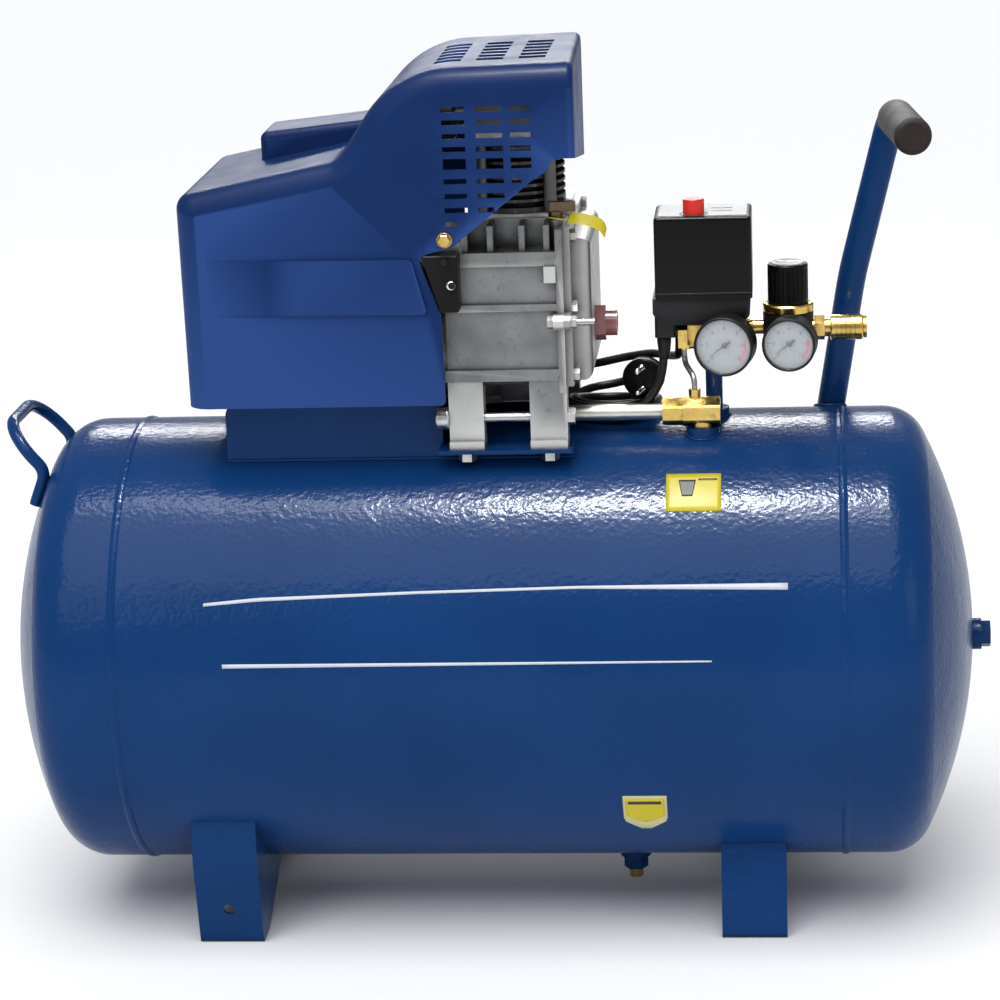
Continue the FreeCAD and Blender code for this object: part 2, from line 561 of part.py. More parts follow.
# ---- motor ----
def build_motor():
    races = []
    for x0 in (-30.0, -30.0 + STATOR_X0 - STATOR_X1 - 76.0):
        races.append(rod_x(x0, x0 + BEARING_W, 0, SHAFT_Z, BEARING_R).cut(
            rod_x(x0, x0 + BEARING_W, 0, SHAFT_Z, SHAFT_R + FIT)))
    save("bearings", group(races))
    core = rod_x(STATOR_X0, STATOR_X1, 0, SHAFT_Z, STATOR_R).cut(
        rod_x(STATOR_X0, STATOR_X1, 0, SHAFT_Z, ROTOR_R + 0.6))
    save("stator_core", core)
    coils = []
    for x0 in (STATOR_X0 - OVERHANG, STATOR_X1):
        coil = rod_x(x0, x0 + OVERHANG, 0, SHAFT_Z, WINDING_R1).cut(
            rod_x(x0, x0 + OVERHANG, 0, SHAFT_Z, WINDING_R0))
        coils.append(coil)
    save("windings", group(coils))
    rotor = rod_x(STATOR_X0, STATOR_X1, 0, SHAFT_Z, ROTOR_R)
    for x0, x1 in ((STATOR_X0 - 8, STATOR_X0), (STATOR_X1, STATOR_X1 + 8)):
        rotor = rotor.fuse(rod_x(x0, x1, 0, SHAFT_Z, 36.0))
    save("rotor", rotor.cut(rod_x(-300, 0, 0, SHAFT_Z, SHAFT_R)))
    end_x = -198.0
    disc = rod_x(end_x, end_x + 8, 0, SHAFT_Z, RIM_R)
    for angle in (0, 90, 180, 270):
        window = prism(in_yz([(-22, 36), (22, 36), (40, 68), (-40, 68)], end_x - 1), [5] * 4, V(10, 0, 0))
        window.rotate(V(0, 0, 0), V(1, 0, 0), angle)
        window.translate(V(0, 0, SHAFT_Z))
        disc = disc.cut(window)
    rim = rod_x(end_x + 8, STATOR_X0 + 6, 0, SHAFT_Z, RIM_R).cut(
        rod_x(end_x + 8, STATOR_X0 + 6, 0, SHAFT_Z, STATOR_R + 0.02))
    parts = [disc, rim, rod_x(end_x, end_x + BEARING_W + 4, 0, SHAFT_Z, BEARING_R + 6)]
    holes = []
    bolts = []
    for angle in (45, 135, 225, 315):
        y = THROUGH_R * math.cos(math.radians(angle))
        z = SHAFT_Z + THROUGH_R * math.sin(math.radians(angle))
        parts.append(rod_x(end_x, end_x + 12, y, z, 8.0))
        holes.append(rod_x(end_x - 1, end_x + 14, y, z, 3.1))
        shank = rod_x(end_x, STATOR_X1 + 10, y, z, 3.0)
        head = hex_prism(V(end_x - 5, y, z), V(1, 0, 0), 10.0, 5.0)
        bolts.append(fuse([shank, head]))
    bracket = fuse(parts)
    bracket = bracket.cut(rod_x(end_x + 2, end_x + BEARING_W + 5, 0, SHAFT_Z, BEARING_R))
    bracket = bracket.cut(rod_x(end_x - 1, end_x + 3, 0, SHAFT_Z, SHAFT_R + 2))
    feet = []
    for side in (-1, 1):
        feet.append(block(end_x, end_x + 8, min(side * 60, side * RAIL_Y), max(side * 60, side * RAIL_Y), 210, 262))
    bracket = fuse([bracket] + feet)
    for hole in holes:
        bracket = bracket.cut(hole)
    save("motor_end_bracket", bracket)
    save("through_bolts", group(bolts))
    can = rod_x(-186, -116, 48, 424, 19.0)
    can = can.makeFillet(2.0, [can.Edges[0], can.Edges[2]])
    strap = block(-140, -128, 40, 48, SHAFT_Z + math.sqrt(STATOR_R ** 2 - 48 ** 2), 410)
    save("capacitor", fuse([can, strap.cut(rod_x(-200, 0, 0, SHAFT_Z, STATOR_R))]))


def build_fan():
    hub = rod_x(FAN_X0, FAN_X1 - 4, 0, SHAFT_Z, 24.0)
    blades = []
    count = 9
    for i in range(count):
        blade = block(FAN_X0 + 4, FAN_X1 - 6, -1.4, 1.4, 20, FAN_R - 4)
        blade.rotate(V((FAN_X0 + FAN_X1) / 2, 0, 0), V(0, 0, 1), 34)
        blade.rotate(V(0, 0, 0), V(1, 0, 0), 360.0 * i / count)
        blade.translate(V(0, 0, SHAFT_Z))
        blades.append(blade)
    tips = rod_x(FAN_X0 + 8, FAN_X0 + 22, 0, SHAFT_Z, FAN_R - 3).cut(
        rod_x(FAN_X0 + 8, FAN_X0 + 22, 0, SHAFT_Z, FAN_R - 6))
    fan = fuse([hub, tips] + blades)
    save("cooling_fan", fan.cut(rod_x(-300, 0, 0, SHAFT_Z, SHAFT_R)))


# ---- shroud ----
def shroud_volume(inset):
    """The shroud's rounded outer form, or the same form drawn in by the wall."""
    points = [(-247, 150), (-249.5, 423), (-108.5, 450.7), (-58, 525.7), (SHROUD_RIGHT, 529), (SHROUD_RIGHT, 150)]
    wire = outline(in_xz(points), [0, 14, 22, 90, 0, 0])
    if inset > 0:
        wire = wire.makeOffset2D(-inset)
    half = SHROUD_Y - inset
    form = Part.Face(wire).extrude(V(0, 2 * half, 0))
    form.translate(V(0, -half, 0))
    edges = []
    for edge in form.Edges:
        middle = edge.CenterOfMass
        flat = abs(abs(middle.y) - half) < 0.01
        if flat and middle.x < SHROUD_RIGHT - 3 - inset and middle.z > 155 + inset:
            edges.append(edge)
    form = form.makeFillet(20.0 - inset, edges)
    slant = [V(SHROUD_RIGHT - inset, -SHROUD_Y, 100), V(SHROUD_RIGHT - SLANT - inset, SHROUD_Y, 100),
             V(SHROUD_RIGHT + 5, SHROUD_Y, 100), V(SHROUD_RIGHT + 5, -SHROUD_Y, 100)]
    form = form.cut(prism(slant, [0, 0, 0, 0], V(0, 0, 500)))
    rim = []
    for edge in form.Edges:
        ends = [v.Point.x for v in edge.Vertexes]
        if min(ends) > SHROUD_RIGHT - SLANT - inset - 1 and edge.CenterOfMass.z > 155 + inset:
            rim.append(edge)
    form = form.makeFillet(6.0 - inset, rim)
    return fuse([form, raised_box(inset)])


def raised_box(inset):
    """The box moulded into the shroud's sloping top, above the capacitor."""
    base = 400.0
    points = [(-192 + inset, base), (-192 + inset, 459 - inset), (-80, 470 - inset), (-80, base)]
    box = prism(in_xz(points, 5 + inset), [0, 0, 0, 0], V(0, 70 - 2 * inset, 0))
    edges = []
    for edge in box.Edges:
        middle = edge.CenterOfMass
        if middle.x < -81 and middle.z > base + 1:
            edges.append(edge)
    return box.makeFillet(7.0 - inset, edges)


def shroud_edge():
    """What the moulding's lower edge leaves: its front half, its rear half and its right wall."""
    left = [(-320, 240), (-24, 240), (-25, 318), (-43, 369)]
    front = left + [(-13, 377), (29, 410), (55, 431), (68, 439), (74, 449.5), (85, 450), (85, 580), (-320, 580)]
    rear = left[:3] + [(-25, 377), (0, 391), (29, 405), (60, 416), (85, 416), (85, 580), (-320, 580)]
    kept = [prism(in_xz(front, -160), [0, 4, 5, 6, 6, 0, 0, 6, 3, 0, 0, 0], V(0, 160, 0))]
    kept.append(prism(in_xz(rear, 0), [0, 4, 0, 6, 0, 8, 0, 0, 0, 0], V(0, 160, 0)))
    wall = in_yz([(-160, 456), (160, 410), (160, 580), (-160, 580)], SHROUD_RIGHT - 14)
    whole = fuse([k.common(block(-330, SHROUD_RIGHT - 14, -170, 170, 200, 600)) for k in kept])
    return fuse([whole, prism(wall, [0, 0, 0, 0], V(60, 0, 0))])


def front_vents():
    heights = [493.0, 482.0, 470.5, 459.5, 447.0, 432.5, 420.0, 408.0, 396.0]
    slots = []
    for x0, x1, count in ((-18, 1.5, 9), (10.5, 33, 8), (39, 56.5, 6)):
        for row in range(count):
            half = 4.6 if row == 4 else 2.2
            end = x1 - 9 if row == count - 1 else x1
            low, high = heights[row] - half, heights[row] + half
            slots.append(block(x0, end, -130, -105, low, high))
            slots.append(block(x0, end, 105, 130, low, high))
    return slots


def top_vents():
    slots = []
    for x0 in (-28, 8, 44):
        for row in range(6):
            y = -68 + 21 * row
            slots.append(block(x0, x0 + 23, y, y + 14, 515, 540))
    return slots


def end_vents():
    slots = []
    for row in range(-5, 6):
        z = SHAFT_Z + 13 * row
        half = math.sqrt(80.0 ** 2 - (13 * row) ** 2)
        for y0, y1 in ((-half, -4), (4, half)):
            slots.append(block(-262, -241, y0, y1, z - 3.5, z + 3.5))
    return slots


def swollen_band():
    """The shallow band on the shroud's front, flush at its left end."""
    plan = [V(-222, -SHROUD_Y, 300), V(-140, -SHROUD_Y - 3.4, 300), V(-30, -SHROUD_Y - 3.4, 300),
            V(-30, -SHROUD_Y + 1, 300), V(-222, -SHROUD_Y + 1, 300)]
    wedge = prism(plan, [0, 1500, 0, 0, 0], V(0, 0, 90))
    face = in_xz([(-240, 322), (-36, 320), (-48, 367), (-240, 369)], -SHROUD_Y - 6)
    return wedge.common(prism(face, [0, 3, 3, 0], V(0, 10, 0)))


def build_shroud():
    shell = shroud_volume(0.0).cut(shroud_volume(SHROUD_WALL))
    band = swollen_band()
    shell = fuse([shell, band, mirrored(band)])
    shell = shell.common(shroud_edge())
    for slot in front_vents() + top_vents() + end_vents():
        shell = shell.cut(slot)
    save("shroud", shell)
    guide_points = [(-40, 370), (-9, 370), (-9, 321), (-24.5, 321)]
    guide = prism(in_xz(guide_points, -121), [2, 2, 2, 3], V(0, 22, 0))
    face = [e for e in guide.Edges if abs(e.CenterOfMass.y + 121) < 0.01]
    guide = guide.makeFillet(1.5, face)
    guide = guide.cut(block(-34, -12, -118, -98, 326, 366))
    screws = []
    for x, z in ((-14, 345), (-20, 365)):
        screws.append(rod_y(-124, -97, x, z, 3.0))
    guide = fuse([guide] + screws)
    tongue = block(-30, -12, -100, -CASE_Y - BAND, 362, 370)
    save("air_guide", fuse([guide, tongue]))


# ---- pipework ----
def build_pipework():
    outlet_z = LINER_TOP + PLATE_T + 15
    lane_x = 48.0
    back_y = 104.5
    route = [V(lane_x, HEAD_HALF + 8, outlet_z), V(lane_x, back_y, outlet_z), V(lane_x, back_y, VALVE_Z - 2)]
    route += [V(lane_x, VALVE_Y, VALVE_Z - 2), V(VALVE_X - 16, VALVE_Y, VALVE_Z - 2)]
    tube = bar(route, [26.0, 26.0, 28.0], TUBE_R)
    hole_path = bar(route, [26.0, 26.0, 28.0], TUBE_R - 1.2)
    save("discharge_tube", tube.cut(hole_path))
    nut = hex_prism(V(158, VALVE_Y, VALVE_Z - 2), V(1, 0, 0), 22.0, 18.0)
    nut = nut.cut(rod_x(150, 180, VALVE_Y, VALVE_Z - 2, TUBE_R))
    nut = nut.common(rod_x(150, 180, VALVE_Y, VALVE_Z - 2, 12.2))
    top_nut = hex_prism(V(lane_x, HEAD_HALF + 8, outlet_z), V(0, 1, 0), 22.0, 14.0)
    top_nut = top_nut.cut(rod_y(40, 80, lane_x, outlet_z, TUBE_R))
    small_nut = hex_prism(V(VALVE_X - 6, VALVE_Y, VALVE_Z + 12), V(0, 0, 1), 9.0, 6.0)
    small_nut = small_nut.cut(rod_z(200, 240, VALVE_X - 6, VALVE_Y, 2.5))
    ring = rod_z(REG_Z + 15, REG_Z + 23, REG_X, REG_Y, 22.0)
    ring = ring.makeChamfer(1.2, [ring.Edges[0], ring.Edges[2]])
    ring = ring.cut(rod_z(REG_Z + 14, REG_Z + 24, REG_X, REG_Y, 14.0))
    save("brass_nuts", group([nut, top_nut, small_nut, ring]))

    body = hex_prism(V(VALVE_X - 16, VALVE_Y, VALVE_Z - 2), V(1, 0, 0), 24.0, 32.0)
    body = body.common(rod_x(VALVE_X - 16, VALVE_X + 16, VALVE_Y, VALVE_Z - 2, 13.2))
    body = fuse([body, rod_z(200.5, VALVE_Z - 2, VALVE_X, VALVE_Y, 9.5)])
    body = fuse([body, rod_z(VALVE_Z, VALVE_Z + 12, VALVE_X - 6, VALVE_Y, 5.0)])
    body = body.cut(rod_x(VALVE_X - 17, VALVE_X - 8, VALVE_Y, VALVE_Z - 2, 4.0))
    body = body.cut(rod_x(VALVE_X - 8, VALVE_X + 12, VALVE_Y, VALVE_Z - 2, 7.0))
    body = body.cut(rod_z(195, VALVE_Z - 4, VALVE_X + 4, VALVE_Y, 4.0))
    save("check_valve_body", body)
    disc = rod_x(VALVE_X - 7.7, VALVE_X - 4.7, VALVE_Y, VALVE_Z - 2, 6.9)
    guide = rod_x(VALVE_X - 4.7, VALVE_X + 4, VALVE_Y, VALVE_Z - 2, 2.0)
    save("check_valve_poppet", fuse([disc, guide]))
    thin = [V(177, -19, 264), V(177, -19, 252), V(VALVE_X - 6, VALVE_Y, 244), V(VALVE_X - 6, VALVE_Y, VALVE_Z + 12)]
    save("unloader_tube", bar(thin, [9.0, 9.0], 2.5))
    pipe = rod_z(193, MANIFOLD_Z - 12, PIPE_X, 0, 7.5).cut(rod_z(190, 270, PIPE_X, 0, 5.0))
    save("support_pipe", pipe.cut(TANK))


def build_manifold():
    x0, x1 = 180.0, 234.0
    z0, z1 = MANIFOLD_Z - 12, MANIFOLD_Z + 12
    core = block(x0, x1, -13, 13, z0, z1)
    core = core.makeFillet(3.0, [e for e in core.Edges if abs(e.tangentAt(e.FirstParameter).x) > 0.99])
    neck = hex_prism(V(PIPE_X, 0, z1), V(0, 0, 1), 19.0, 290 - z1)
    arm = block(172, x0, -26, -8, z0 + 4, z1 - 4)
    foot = rod_z(264, z0 + 6, 177, -19, 5.0)
    nipple = rod_x(x1, REG_X - 21, REG_Y + 8, REG_Z, 6.5)
    body = fuse([core, neck, arm, foot])
    body = body.cut(rod_z(z0 - 1, 291, PIPE_X, 0, 4.0))
    body = body.cut(rod_x(x0 + 8, x1 + 1, 0, MANIFOLD_Z, 4.0))
    nipple = nipple.cut(rod_x(x1, REG_X, REG_Y + 8, REG_Z, 3.5))
    nipple = nipple.cut(rod_z(REG_Z - 20, REG_Z + 20, REG_X, REG_Y, 22.0))
    body = body.cut(rod_y(5, 14, 220, MANIFOLD_Z, 6.0))
    save("manifold", group([body, nipple]))
    valve = fuse([rod_y(5, 20, 220, MANIFOLD_Z, 6.0), hex_prism(V(220, 13, MANIFOLD_Z), V(0, 1, 0), 14.0, 7.0),
                  rod_y(20, 46, 220, MANIFOLD_Z, 6.5)])
    valve = valve.cut(rod_y(4, 47, 220, MANIFOLD_Z, 2.05))
    valve = valve.cut(rod_y(14, 40, 220, MANIFOLD_Z, 4.5))
    save("safety_valve", valve)
    stem = rod_y(30, 52, 220, MANIFOLD_Z, 2.0)
    ring = Part.makeTorus(8.5, 1.4, V(220, 60.5, MANIFOLD_Z), V(1, 0, 0))
    save("safety_ring", fuse([stem, ring]))


def build_switch():
    base_points = in_xz([(160, 290), (228, 290), (235, 298), (236, 313), (151, 313), (151, 300)], -42)
    base = prism(base_points, [3, 3, 2, 0, 0, 4], V(0, 62, 0))
    entry = block(152.5, 171, -42, -17, 279, 301)
    entry = entry.makeFillet(2.5, [e for e in entry.Edges if abs(e.tangentAt(e.FirstParameter).z) > 0.99])
    gland = fuse([rod_z(278, 292, 172, 8, 8.0), hex_prism(V(172, 8, 272), V(0, 0, 1), 13.5, 6.0)])
    save("switch_base", fuse([base, entry, gland]))
    cover = block(153.5, 237.5, -45, 22, 313, 385)
    cover = cover.makeFillet(3.5, [e for e in cover.Edges if e.CenterOfMass.z > 313.5])
    cover = cover.cut(block(156, 235, -42.5, 19.5, 313, 382))
    cover = cover.cut(rod_z(380, 386, 188, -31, 4.3))
    save("switch_cover", cover)
    button = rod_z(385.4, 399, 188, -31, 9.3)
    button = button.makeFillet(1.6, [button.Edges[0]])
    save("switch_knob", fuse([button, rod_z(370, 386, 188, -31, 4.2), rod_z(370, 373, 188, -31, 7.0)]))


def build_gauge(radius, root, yaw):
    """Case, dial and needle of a pressure gauge whose stem starts at root."""
    reach = (root.y - GAUGE_FACE_Y) / math.cos(math.radians(yaw))
    depth = 22.0
    case = rod_y(-reach, -reach + depth, 0, 0, radius)
    case = case.makeFillet(0.9, [case.Edges[0], case.Edges[2]])
    case = case.cut(rod_y(-reach - 1, -reach + 9, 0, 0, radius - 1.5))
    stem = rod_y(-reach + depth, 2, 0, 0, 5.5)
    flats = hex_prism(V(0, -reach + depth, 0), V(0, 1, 0), 12.0, 8.0)
    case = fuse([case, stem, flats])
    dial = rod_y(-reach + 7.2, -reach + 8.9, 0, 0, radius - 1.6)
    long_end, short_end = radius * 0.72, radius * 0.25
    angle = math.radians(216.0)
    tip = (long_end * math.cos(angle), long_end * math.sin(angle))
    tail = (-short_end * math.cos(angle), -short_end * math.sin(angle))
    side = (1.1 * math.sin(angle), -1.1 * math.cos(angle))
    blade = [(tail[0] + side[0], tail[1] + side[1]), tip, (tail[0] - side[0], tail[1] - side[1])]
    needle = prism(in_xz(blade, -reach + 5.4), [0, 0, 0], V(0, 0.7, 0))
    needle = fuse([needle, rod_y(-reach + 4.6, -reach + 6.9, 0, 0, 2.4)])
    for shape in (case, dial, needle):
        shape.rotate(V(0, 0, 0), V(0, 0, 1), -yaw)
        shape.translate(root)
    case = case.cut(block(root.x - 15, root.x + 15, root.y, root.y + 10, root.z - 15, root.z + 15))
    return case, dial, needle


def build_gauges():
    tank_root = V(224.0, -13.0, 277.0)
    out_root = V(274.0, REG_Y - 21.0, 277.5)
    first = build_gauge(25.5, tank_root, 11.0)
    second = build_gauge(22.8, out_root, 8.0)
    save("gauge_cases", group([first[0], second[0]]))
    save("gauge_dials", group([first[1], second[1]]))
    save("tank_gauge_needle", first[2])
    save("outlet_gauge_needle", second[2])


def build_regulator():
    low, high = REG_Z - 12, REG_Z + 15
    body = rod_z(low, high, REG_X, REG_Y, 22.0)
    body = body.makeFillet(3.0, [body.Edges[2]])
    body = fuse([body, rod_z(high, high + 8, REG_X, REG_Y, 14.0)])
    body = body.cut(rod_z(REG_Z, high + 9, REG_X, REG_Y, 11.0))
    body = body.cut(rod_x(REG_X + 14, REG_X + 23, REG_Y, REG_Z, 8.0))
    body = body.cut(rod_x(REG_X + 5, REG_X + 23, REG_Y, REG_Z, 4.0))
    boss = hex_prism(V(274.0, REG_Y - 21.0, 277.5), V(0, 1, 0), 13.0, 6.0)
    save("regulator_body", body.cut(rod_y(-40, REG_Y - 20.5, 274.0, 277.5, 7.0)).fuse(
        boss.cut(body)).removeSplitter())
    knob = rod_z(high + 8.4, high + 43, REG_X, REG_Y, 17.6)
    knob = knob.makeFillet(2.0, [knob.Edges[0]])
    ribs = 24
    for i in range(ribs):
        angle = 2 * math.pi * i / ribs
        x = REG_X + 18.2 * math.cos(angle)
        y = REG_Y + 18.2 * math.sin(angle)
        knob = knob.cut(rod_z(high + 12, high + 38, x, y, 1.2))
    screw = rod_z(high - 8, high + 12, REG_X, REG_Y, 6.0)
    save("regulator_knob", fuse([knob, screw]))
    x0 = REG_X + 14
    end = 336.0
    tail = rod_x(x0, end, REG_Y, REG_Z, 8.0)
    hexagon = hex_prism(V(REG_X + 22.5, REG_Y, REG_Z), V(1, 0, 0), 19.0, 9.0)
    stop = rod_x(end - 3, end, REG_Y, REG_Z, 9.6)
    coupler = fuse([tail, hexagon, stop])
    coupler = coupler.cut(rod_x(x0 - 1, end + 1, REG_Y, REG_Z, 5.0))
    coupler = coupler.cut(rod_z(REG_Z - 40, REG_Z + 40, REG_X, REG_Y, 22.0).cut(
        rod_x(x0 - 1, REG_X + 23, REG_Y, REG_Z, 8.01)))
    save("coupler_body", coupler)
    sleeve = rod_x(304.5, end - 3.3, REG_Y, REG_Z, 11.2)
    sleeve = sleeve.makeFillet(1.5, [sleeve.Edges[0], sleeve.Edges[2]])
    for x in (309, 313, 317, 321, 325):
        groove = rod_x(x, x + 1.6, REG_Y, REG_Z, 13).cut(rod_x(x, x + 1.6, REG_Y, REG_Z, 10.5))
        sleeve = sleeve.cut(groove)
    save("coupler_sleeve", sleeve.cut(rod_x(300, end, REG_Y, REG_Z, 8.05)))


def build_drain():
    body = hex_prism(V(DRAIN_X, DRAIN_Y, -224), V(0, 0, 1), 19.0, 12.0)
    save("drain_body", body.cut(rod_z(-225, -212, DRAIN_X, DRAIN_Y, 3.05)))
    tip = rod_z(-233.5, -224.4, DRAIN_X, DRAIN_Y, 6.3)
    tip = tip.makeChamfer(1.0, [tip.Edges[0], tip.Edges[2]])
    for i in range(12):
        angle = math.pi * i / 6.0
        tip = tip.cut(rod_z(-232, -226, DRAIN_X + 6.8 * math.cos(angle), DRAIN_Y + 6.8 * math.sin(angle), 1.0))
    save("drain_screw", fuse([tip, rod_z(-225, -213, DRAIN_X, DRAIN_Y, 3.0)]))


# ---- leads ----
def build_leads():
    motor = [V(172, 8, 272), V(172, 8, 261), V(171, 15, 251), V(164, 30, 247), V(147, 44, 247), V(124, 54, 242)]
    motor.append(V(92, 59, 234))
    motor += [V(60, 61, 231), V(28, 61, 230), V(-2, 60, 229), V(-28, 57, 229), V(-43, 50, 235), V(-44, 46, 253)]
    save("motor_lead", cord("motor_lead", motor, CORD_R))
    down = [V(160, -30, 279), V(160, -30, 248), V(148, -29, 222), V(127, -27, 206), V(106, -24.3, 203)]
    tail = [V(145, 15, 236.5), V(149, 34, 236.5), V(145, 55, 227.5), V(130.5, 69, 218.5), V(108.5, 74, 212)]
    tail.append(V(87, 68, 210.3))
    coil = rod_z(180, 230, COIL_X, COIL_Y, COIL_OUT).cut(rod_z(180, 230, COIL_X, COIL_Y, COIL_IN))
    coil = coil.common(rod_x(40, 180, 0, 0, 216.3)).cut(rod_x(40, 180, 0, 0, TANK_R + 0.3))
    first = cord("mains lead, gland to coil", down, CORD_R).cut(coil)
    last = cord("mains lead, coil to plug", tail, CORD_R).cut(coil)
    save("mains_lead_tube", group([first, last]))
    save("mains_lead_coil", coil)
    forward = (tail[0] - tail[1]).normalize()
    across = V(0, 0, 1)
    body = Part.makeCylinder(18.0, 30.0, tail[0], forward)
    body = body.makeFillet(4.0, [body.Edges[0], body.Edges[2]])
    front = tail[0] + forward * 30.0
    pins = []
    for offset in (-9.5, 9.5):
        pins.append(Part.makeCylinder(2.4, 17.0, front + across * offset, forward))
    save("mains_plug", fuse([body] + pins))


build_tank()
build_feet()
build_handles()
build_rails()
build_crankcase()
build_cover()
build_pump_bolts()
build_cylinder()
build_crank_train()
build_motor()
build_fan()
build_shroud()
build_pipework()
build_manifold()
build_switch()
build_gauges()
build_regulator()
build_drain()
build_leads()
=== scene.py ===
import json
import math
import random

import bmesh
import bpy
from mathutils import Matrix, Vector


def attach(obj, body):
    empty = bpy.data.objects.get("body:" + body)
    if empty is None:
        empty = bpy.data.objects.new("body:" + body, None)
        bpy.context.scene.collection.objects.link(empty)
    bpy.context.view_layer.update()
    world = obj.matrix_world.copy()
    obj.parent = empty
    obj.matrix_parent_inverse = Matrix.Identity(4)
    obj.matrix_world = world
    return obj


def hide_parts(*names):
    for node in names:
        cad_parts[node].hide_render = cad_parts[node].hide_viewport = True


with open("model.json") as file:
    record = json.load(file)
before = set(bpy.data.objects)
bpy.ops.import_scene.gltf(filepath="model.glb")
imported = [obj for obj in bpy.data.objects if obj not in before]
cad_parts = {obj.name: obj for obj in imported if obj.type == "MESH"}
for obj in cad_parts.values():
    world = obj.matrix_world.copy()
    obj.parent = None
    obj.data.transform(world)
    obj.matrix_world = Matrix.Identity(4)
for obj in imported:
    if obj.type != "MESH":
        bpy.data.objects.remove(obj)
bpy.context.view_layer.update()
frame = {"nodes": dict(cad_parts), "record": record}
NODES = frame["nodes"]
TANK_R = 200.0
TANK_CENTRE_X = 7.75
TANK_AXIS_Z = 240.0


def at(x, y, z):
    """A point given in millimetres about the tank's centre, in the row frame in metres."""
    return Vector(((x - TANK_CENTRE_X) / 1000.0, y / 1000.0, (z + TANK_AXIS_Z) / 1000.0))


# ---------------------------------------------------------------- camera, light and floor
CAMERA_PLACE = at(270.0, -2760.0, 872.0)
CAMERA_YAW = math.radians(5.42)
CAMERA_PITCH = math.radians(15.1)
CAMERA_ROLL = math.radians(-2.2)
CAMERA_LENS = 115.2
CAMERA_SENSOR = 36.0
ROOM_LIGHT = 0.42
SUN_POWER = 2.3
FLOOR_REACH = 9.0
FLOOR_TONE = 0.93


def camera_axes(yaw, pitch, roll):
    forward = Vector((-math.sin(yaw) * math.cos(pitch), math.cos(yaw) * math.cos(pitch), -math.sin(pitch)))
    right = Vector((math.cos(yaw), math.sin(yaw), 0.0))
    up = right.cross(forward)
    turned_right = right * math.cos(roll) + up * math.sin(roll)
    turned_up = up * math.cos(roll) - right * math.sin(roll)
    return turned_right, turned_up, forward


def add_camera():
    right, up, forward = camera_axes(CAMERA_YAW, CAMERA_PITCH, CAMERA_ROLL)
    data = bpy.data.cameras.new("view")
    data.lens = CAMERA_LENS
    data.sensor_width = CAMERA_SENSOR
    camera = bpy.data.objects.new("view", data)
    turn = Matrix((right, up, -forward)).transposed().to_4x4()
    camera.matrix_world = Matrix.Translation(CAMERA_PLACE) @ turn
    bpy.context.scene.collection.objects.link(camera)
    bpy.context.scene.camera = camera


def area_light(name, place, target, width, depth, power, only_shine=False):
    """A soft box; one that is only for shine adds highlights and no general light."""
    data = bpy.data.lights.new(name, "AREA")
    data.shape = "RECTANGLE"
    data.size = width
    data.size_y = depth
    data.energy = power
    light = bpy.data.objects.new(name, data)
    direction = Vector(target) - Vector(place)
    light.rotation_euler = direction.to_track_quat("-Z", "Y").to_euler()
    light.location = place
    light.visible_diffuse = not only_shine
    bpy.context.scene.collection.objects.link(light)


def add_room():
    """A white room for the eye, and a dimmer one for what the object is lit by."""
    world = bpy.data.worlds.new("room")
    bpy.context.scene.world = world
    world.use_nodes = True
    tree = world.node_tree
    seen = tree.nodes["Background"]
    seen.inputs["Color"].default_value = (1.0, 1.0, 1.0, 1.0)
    seen.inputs["Strength"].default_value = 1.0
    lighting = tree.nodes.new("ShaderNodeBackground")
    lighting.inputs["Color"].default_value = (0.93, 0.96, 1.0, 1.0)
    lighting.inputs["Strength"].default_value = ROOM_LIGHT
    choice = tree.nodes.new("ShaderNodeMixShader")
    rays = tree.nodes.new("ShaderNodeLightPath")
    tree.links.new(rays.outputs["Is Camera Ray"], choice.inputs["Fac"])
    tree.links.new(lighting.outputs["Background"], choice.inputs[1])
    tree.links.new(seen.outputs["Background"], choice.inputs[2])
    tree.links.new(choice.outputs["Shader"], tree.nodes["World Output"].inputs["Surface"])


def add_sky():
    """A wide soft sun, for light from everywhere above."""
    sun = bpy.data.lights.new("sky", "SUN")
    sun.energy = SUN_POWER
    sun.angle = math.radians(50.0)
    sky = bpy.data.objects.new("sky", sun)
    sky.rotation_euler = (math.radians(24.0), math.radians(-6.0), 0.0)
    bpy.context.scene.collection.objects.link(sky)


def add_soft_boxes():
    area_light("overhead_wide", (-0.10, -0.30, 2.45), (0.0, 0.0, 0.3), 1.5, 0.36, 34.0, True)
    area_light("overhead_bright", (0.07, -0.28, 2.40), (0.0, 0.0, 0.3), 0.55, 0.26, 80.0, True)
    area_light("front_key", (-1.5, -2.6, 2.0), (0.0, 0.0, 0.35), 1.4, 1.0, 11.0)
    area_light("right_fill", (2.4, -1.4, 1.3), (0.1, 0.0, 0.35), 1.0, 1.2, 6.0)
    area_light("rear_fill", (0.2, 2.6, 1.9), (0.0, 0.0, 0.4), 2.4, 0.8, 6.0)
    area_light("rear_rim", (-0.2, 2.6, 1.75), (0.0, 0.0, 0.45), 2.0, 0.30, 50.0, True)


def add_floor():
    mesh = bpy.data.meshes.new("floor")
    reach = FLOOR_REACH
    corners = [(-reach, -reach, 0.0), (reach, -reach, 0.0), (reach, reach, 0.0), (-reach, reach, 0.0)]
    mesh.from_pydata(corners, [], [(0, 1, 2, 3)])
    floor = bpy.data.objects.new("floor", mesh)
    bpy.context.scene.collection.objects.link(floor)
    material = bpy.data.materials.new("pale_floor")
    material.use_nodes = True
    shader = material.node_tree.nodes["Principled BSDF"]
    shader.inputs["Base Color"].default_value = (FLOOR_TONE, FLOOR_TONE, FLOOR_TONE, 1.0)
    shader.inputs["Roughness"].default_value = 0.9
    mesh.materials.append(material)


def add_stage():
    bpy.context.scene.view_settings.view_transform = "Standard"
    add_room()
    add_sky()
    add_soft_boxes()
    add_floor()


# ---------------------------------------------------------------- materials
EVEN = (1.0, 1.0, 1.0)


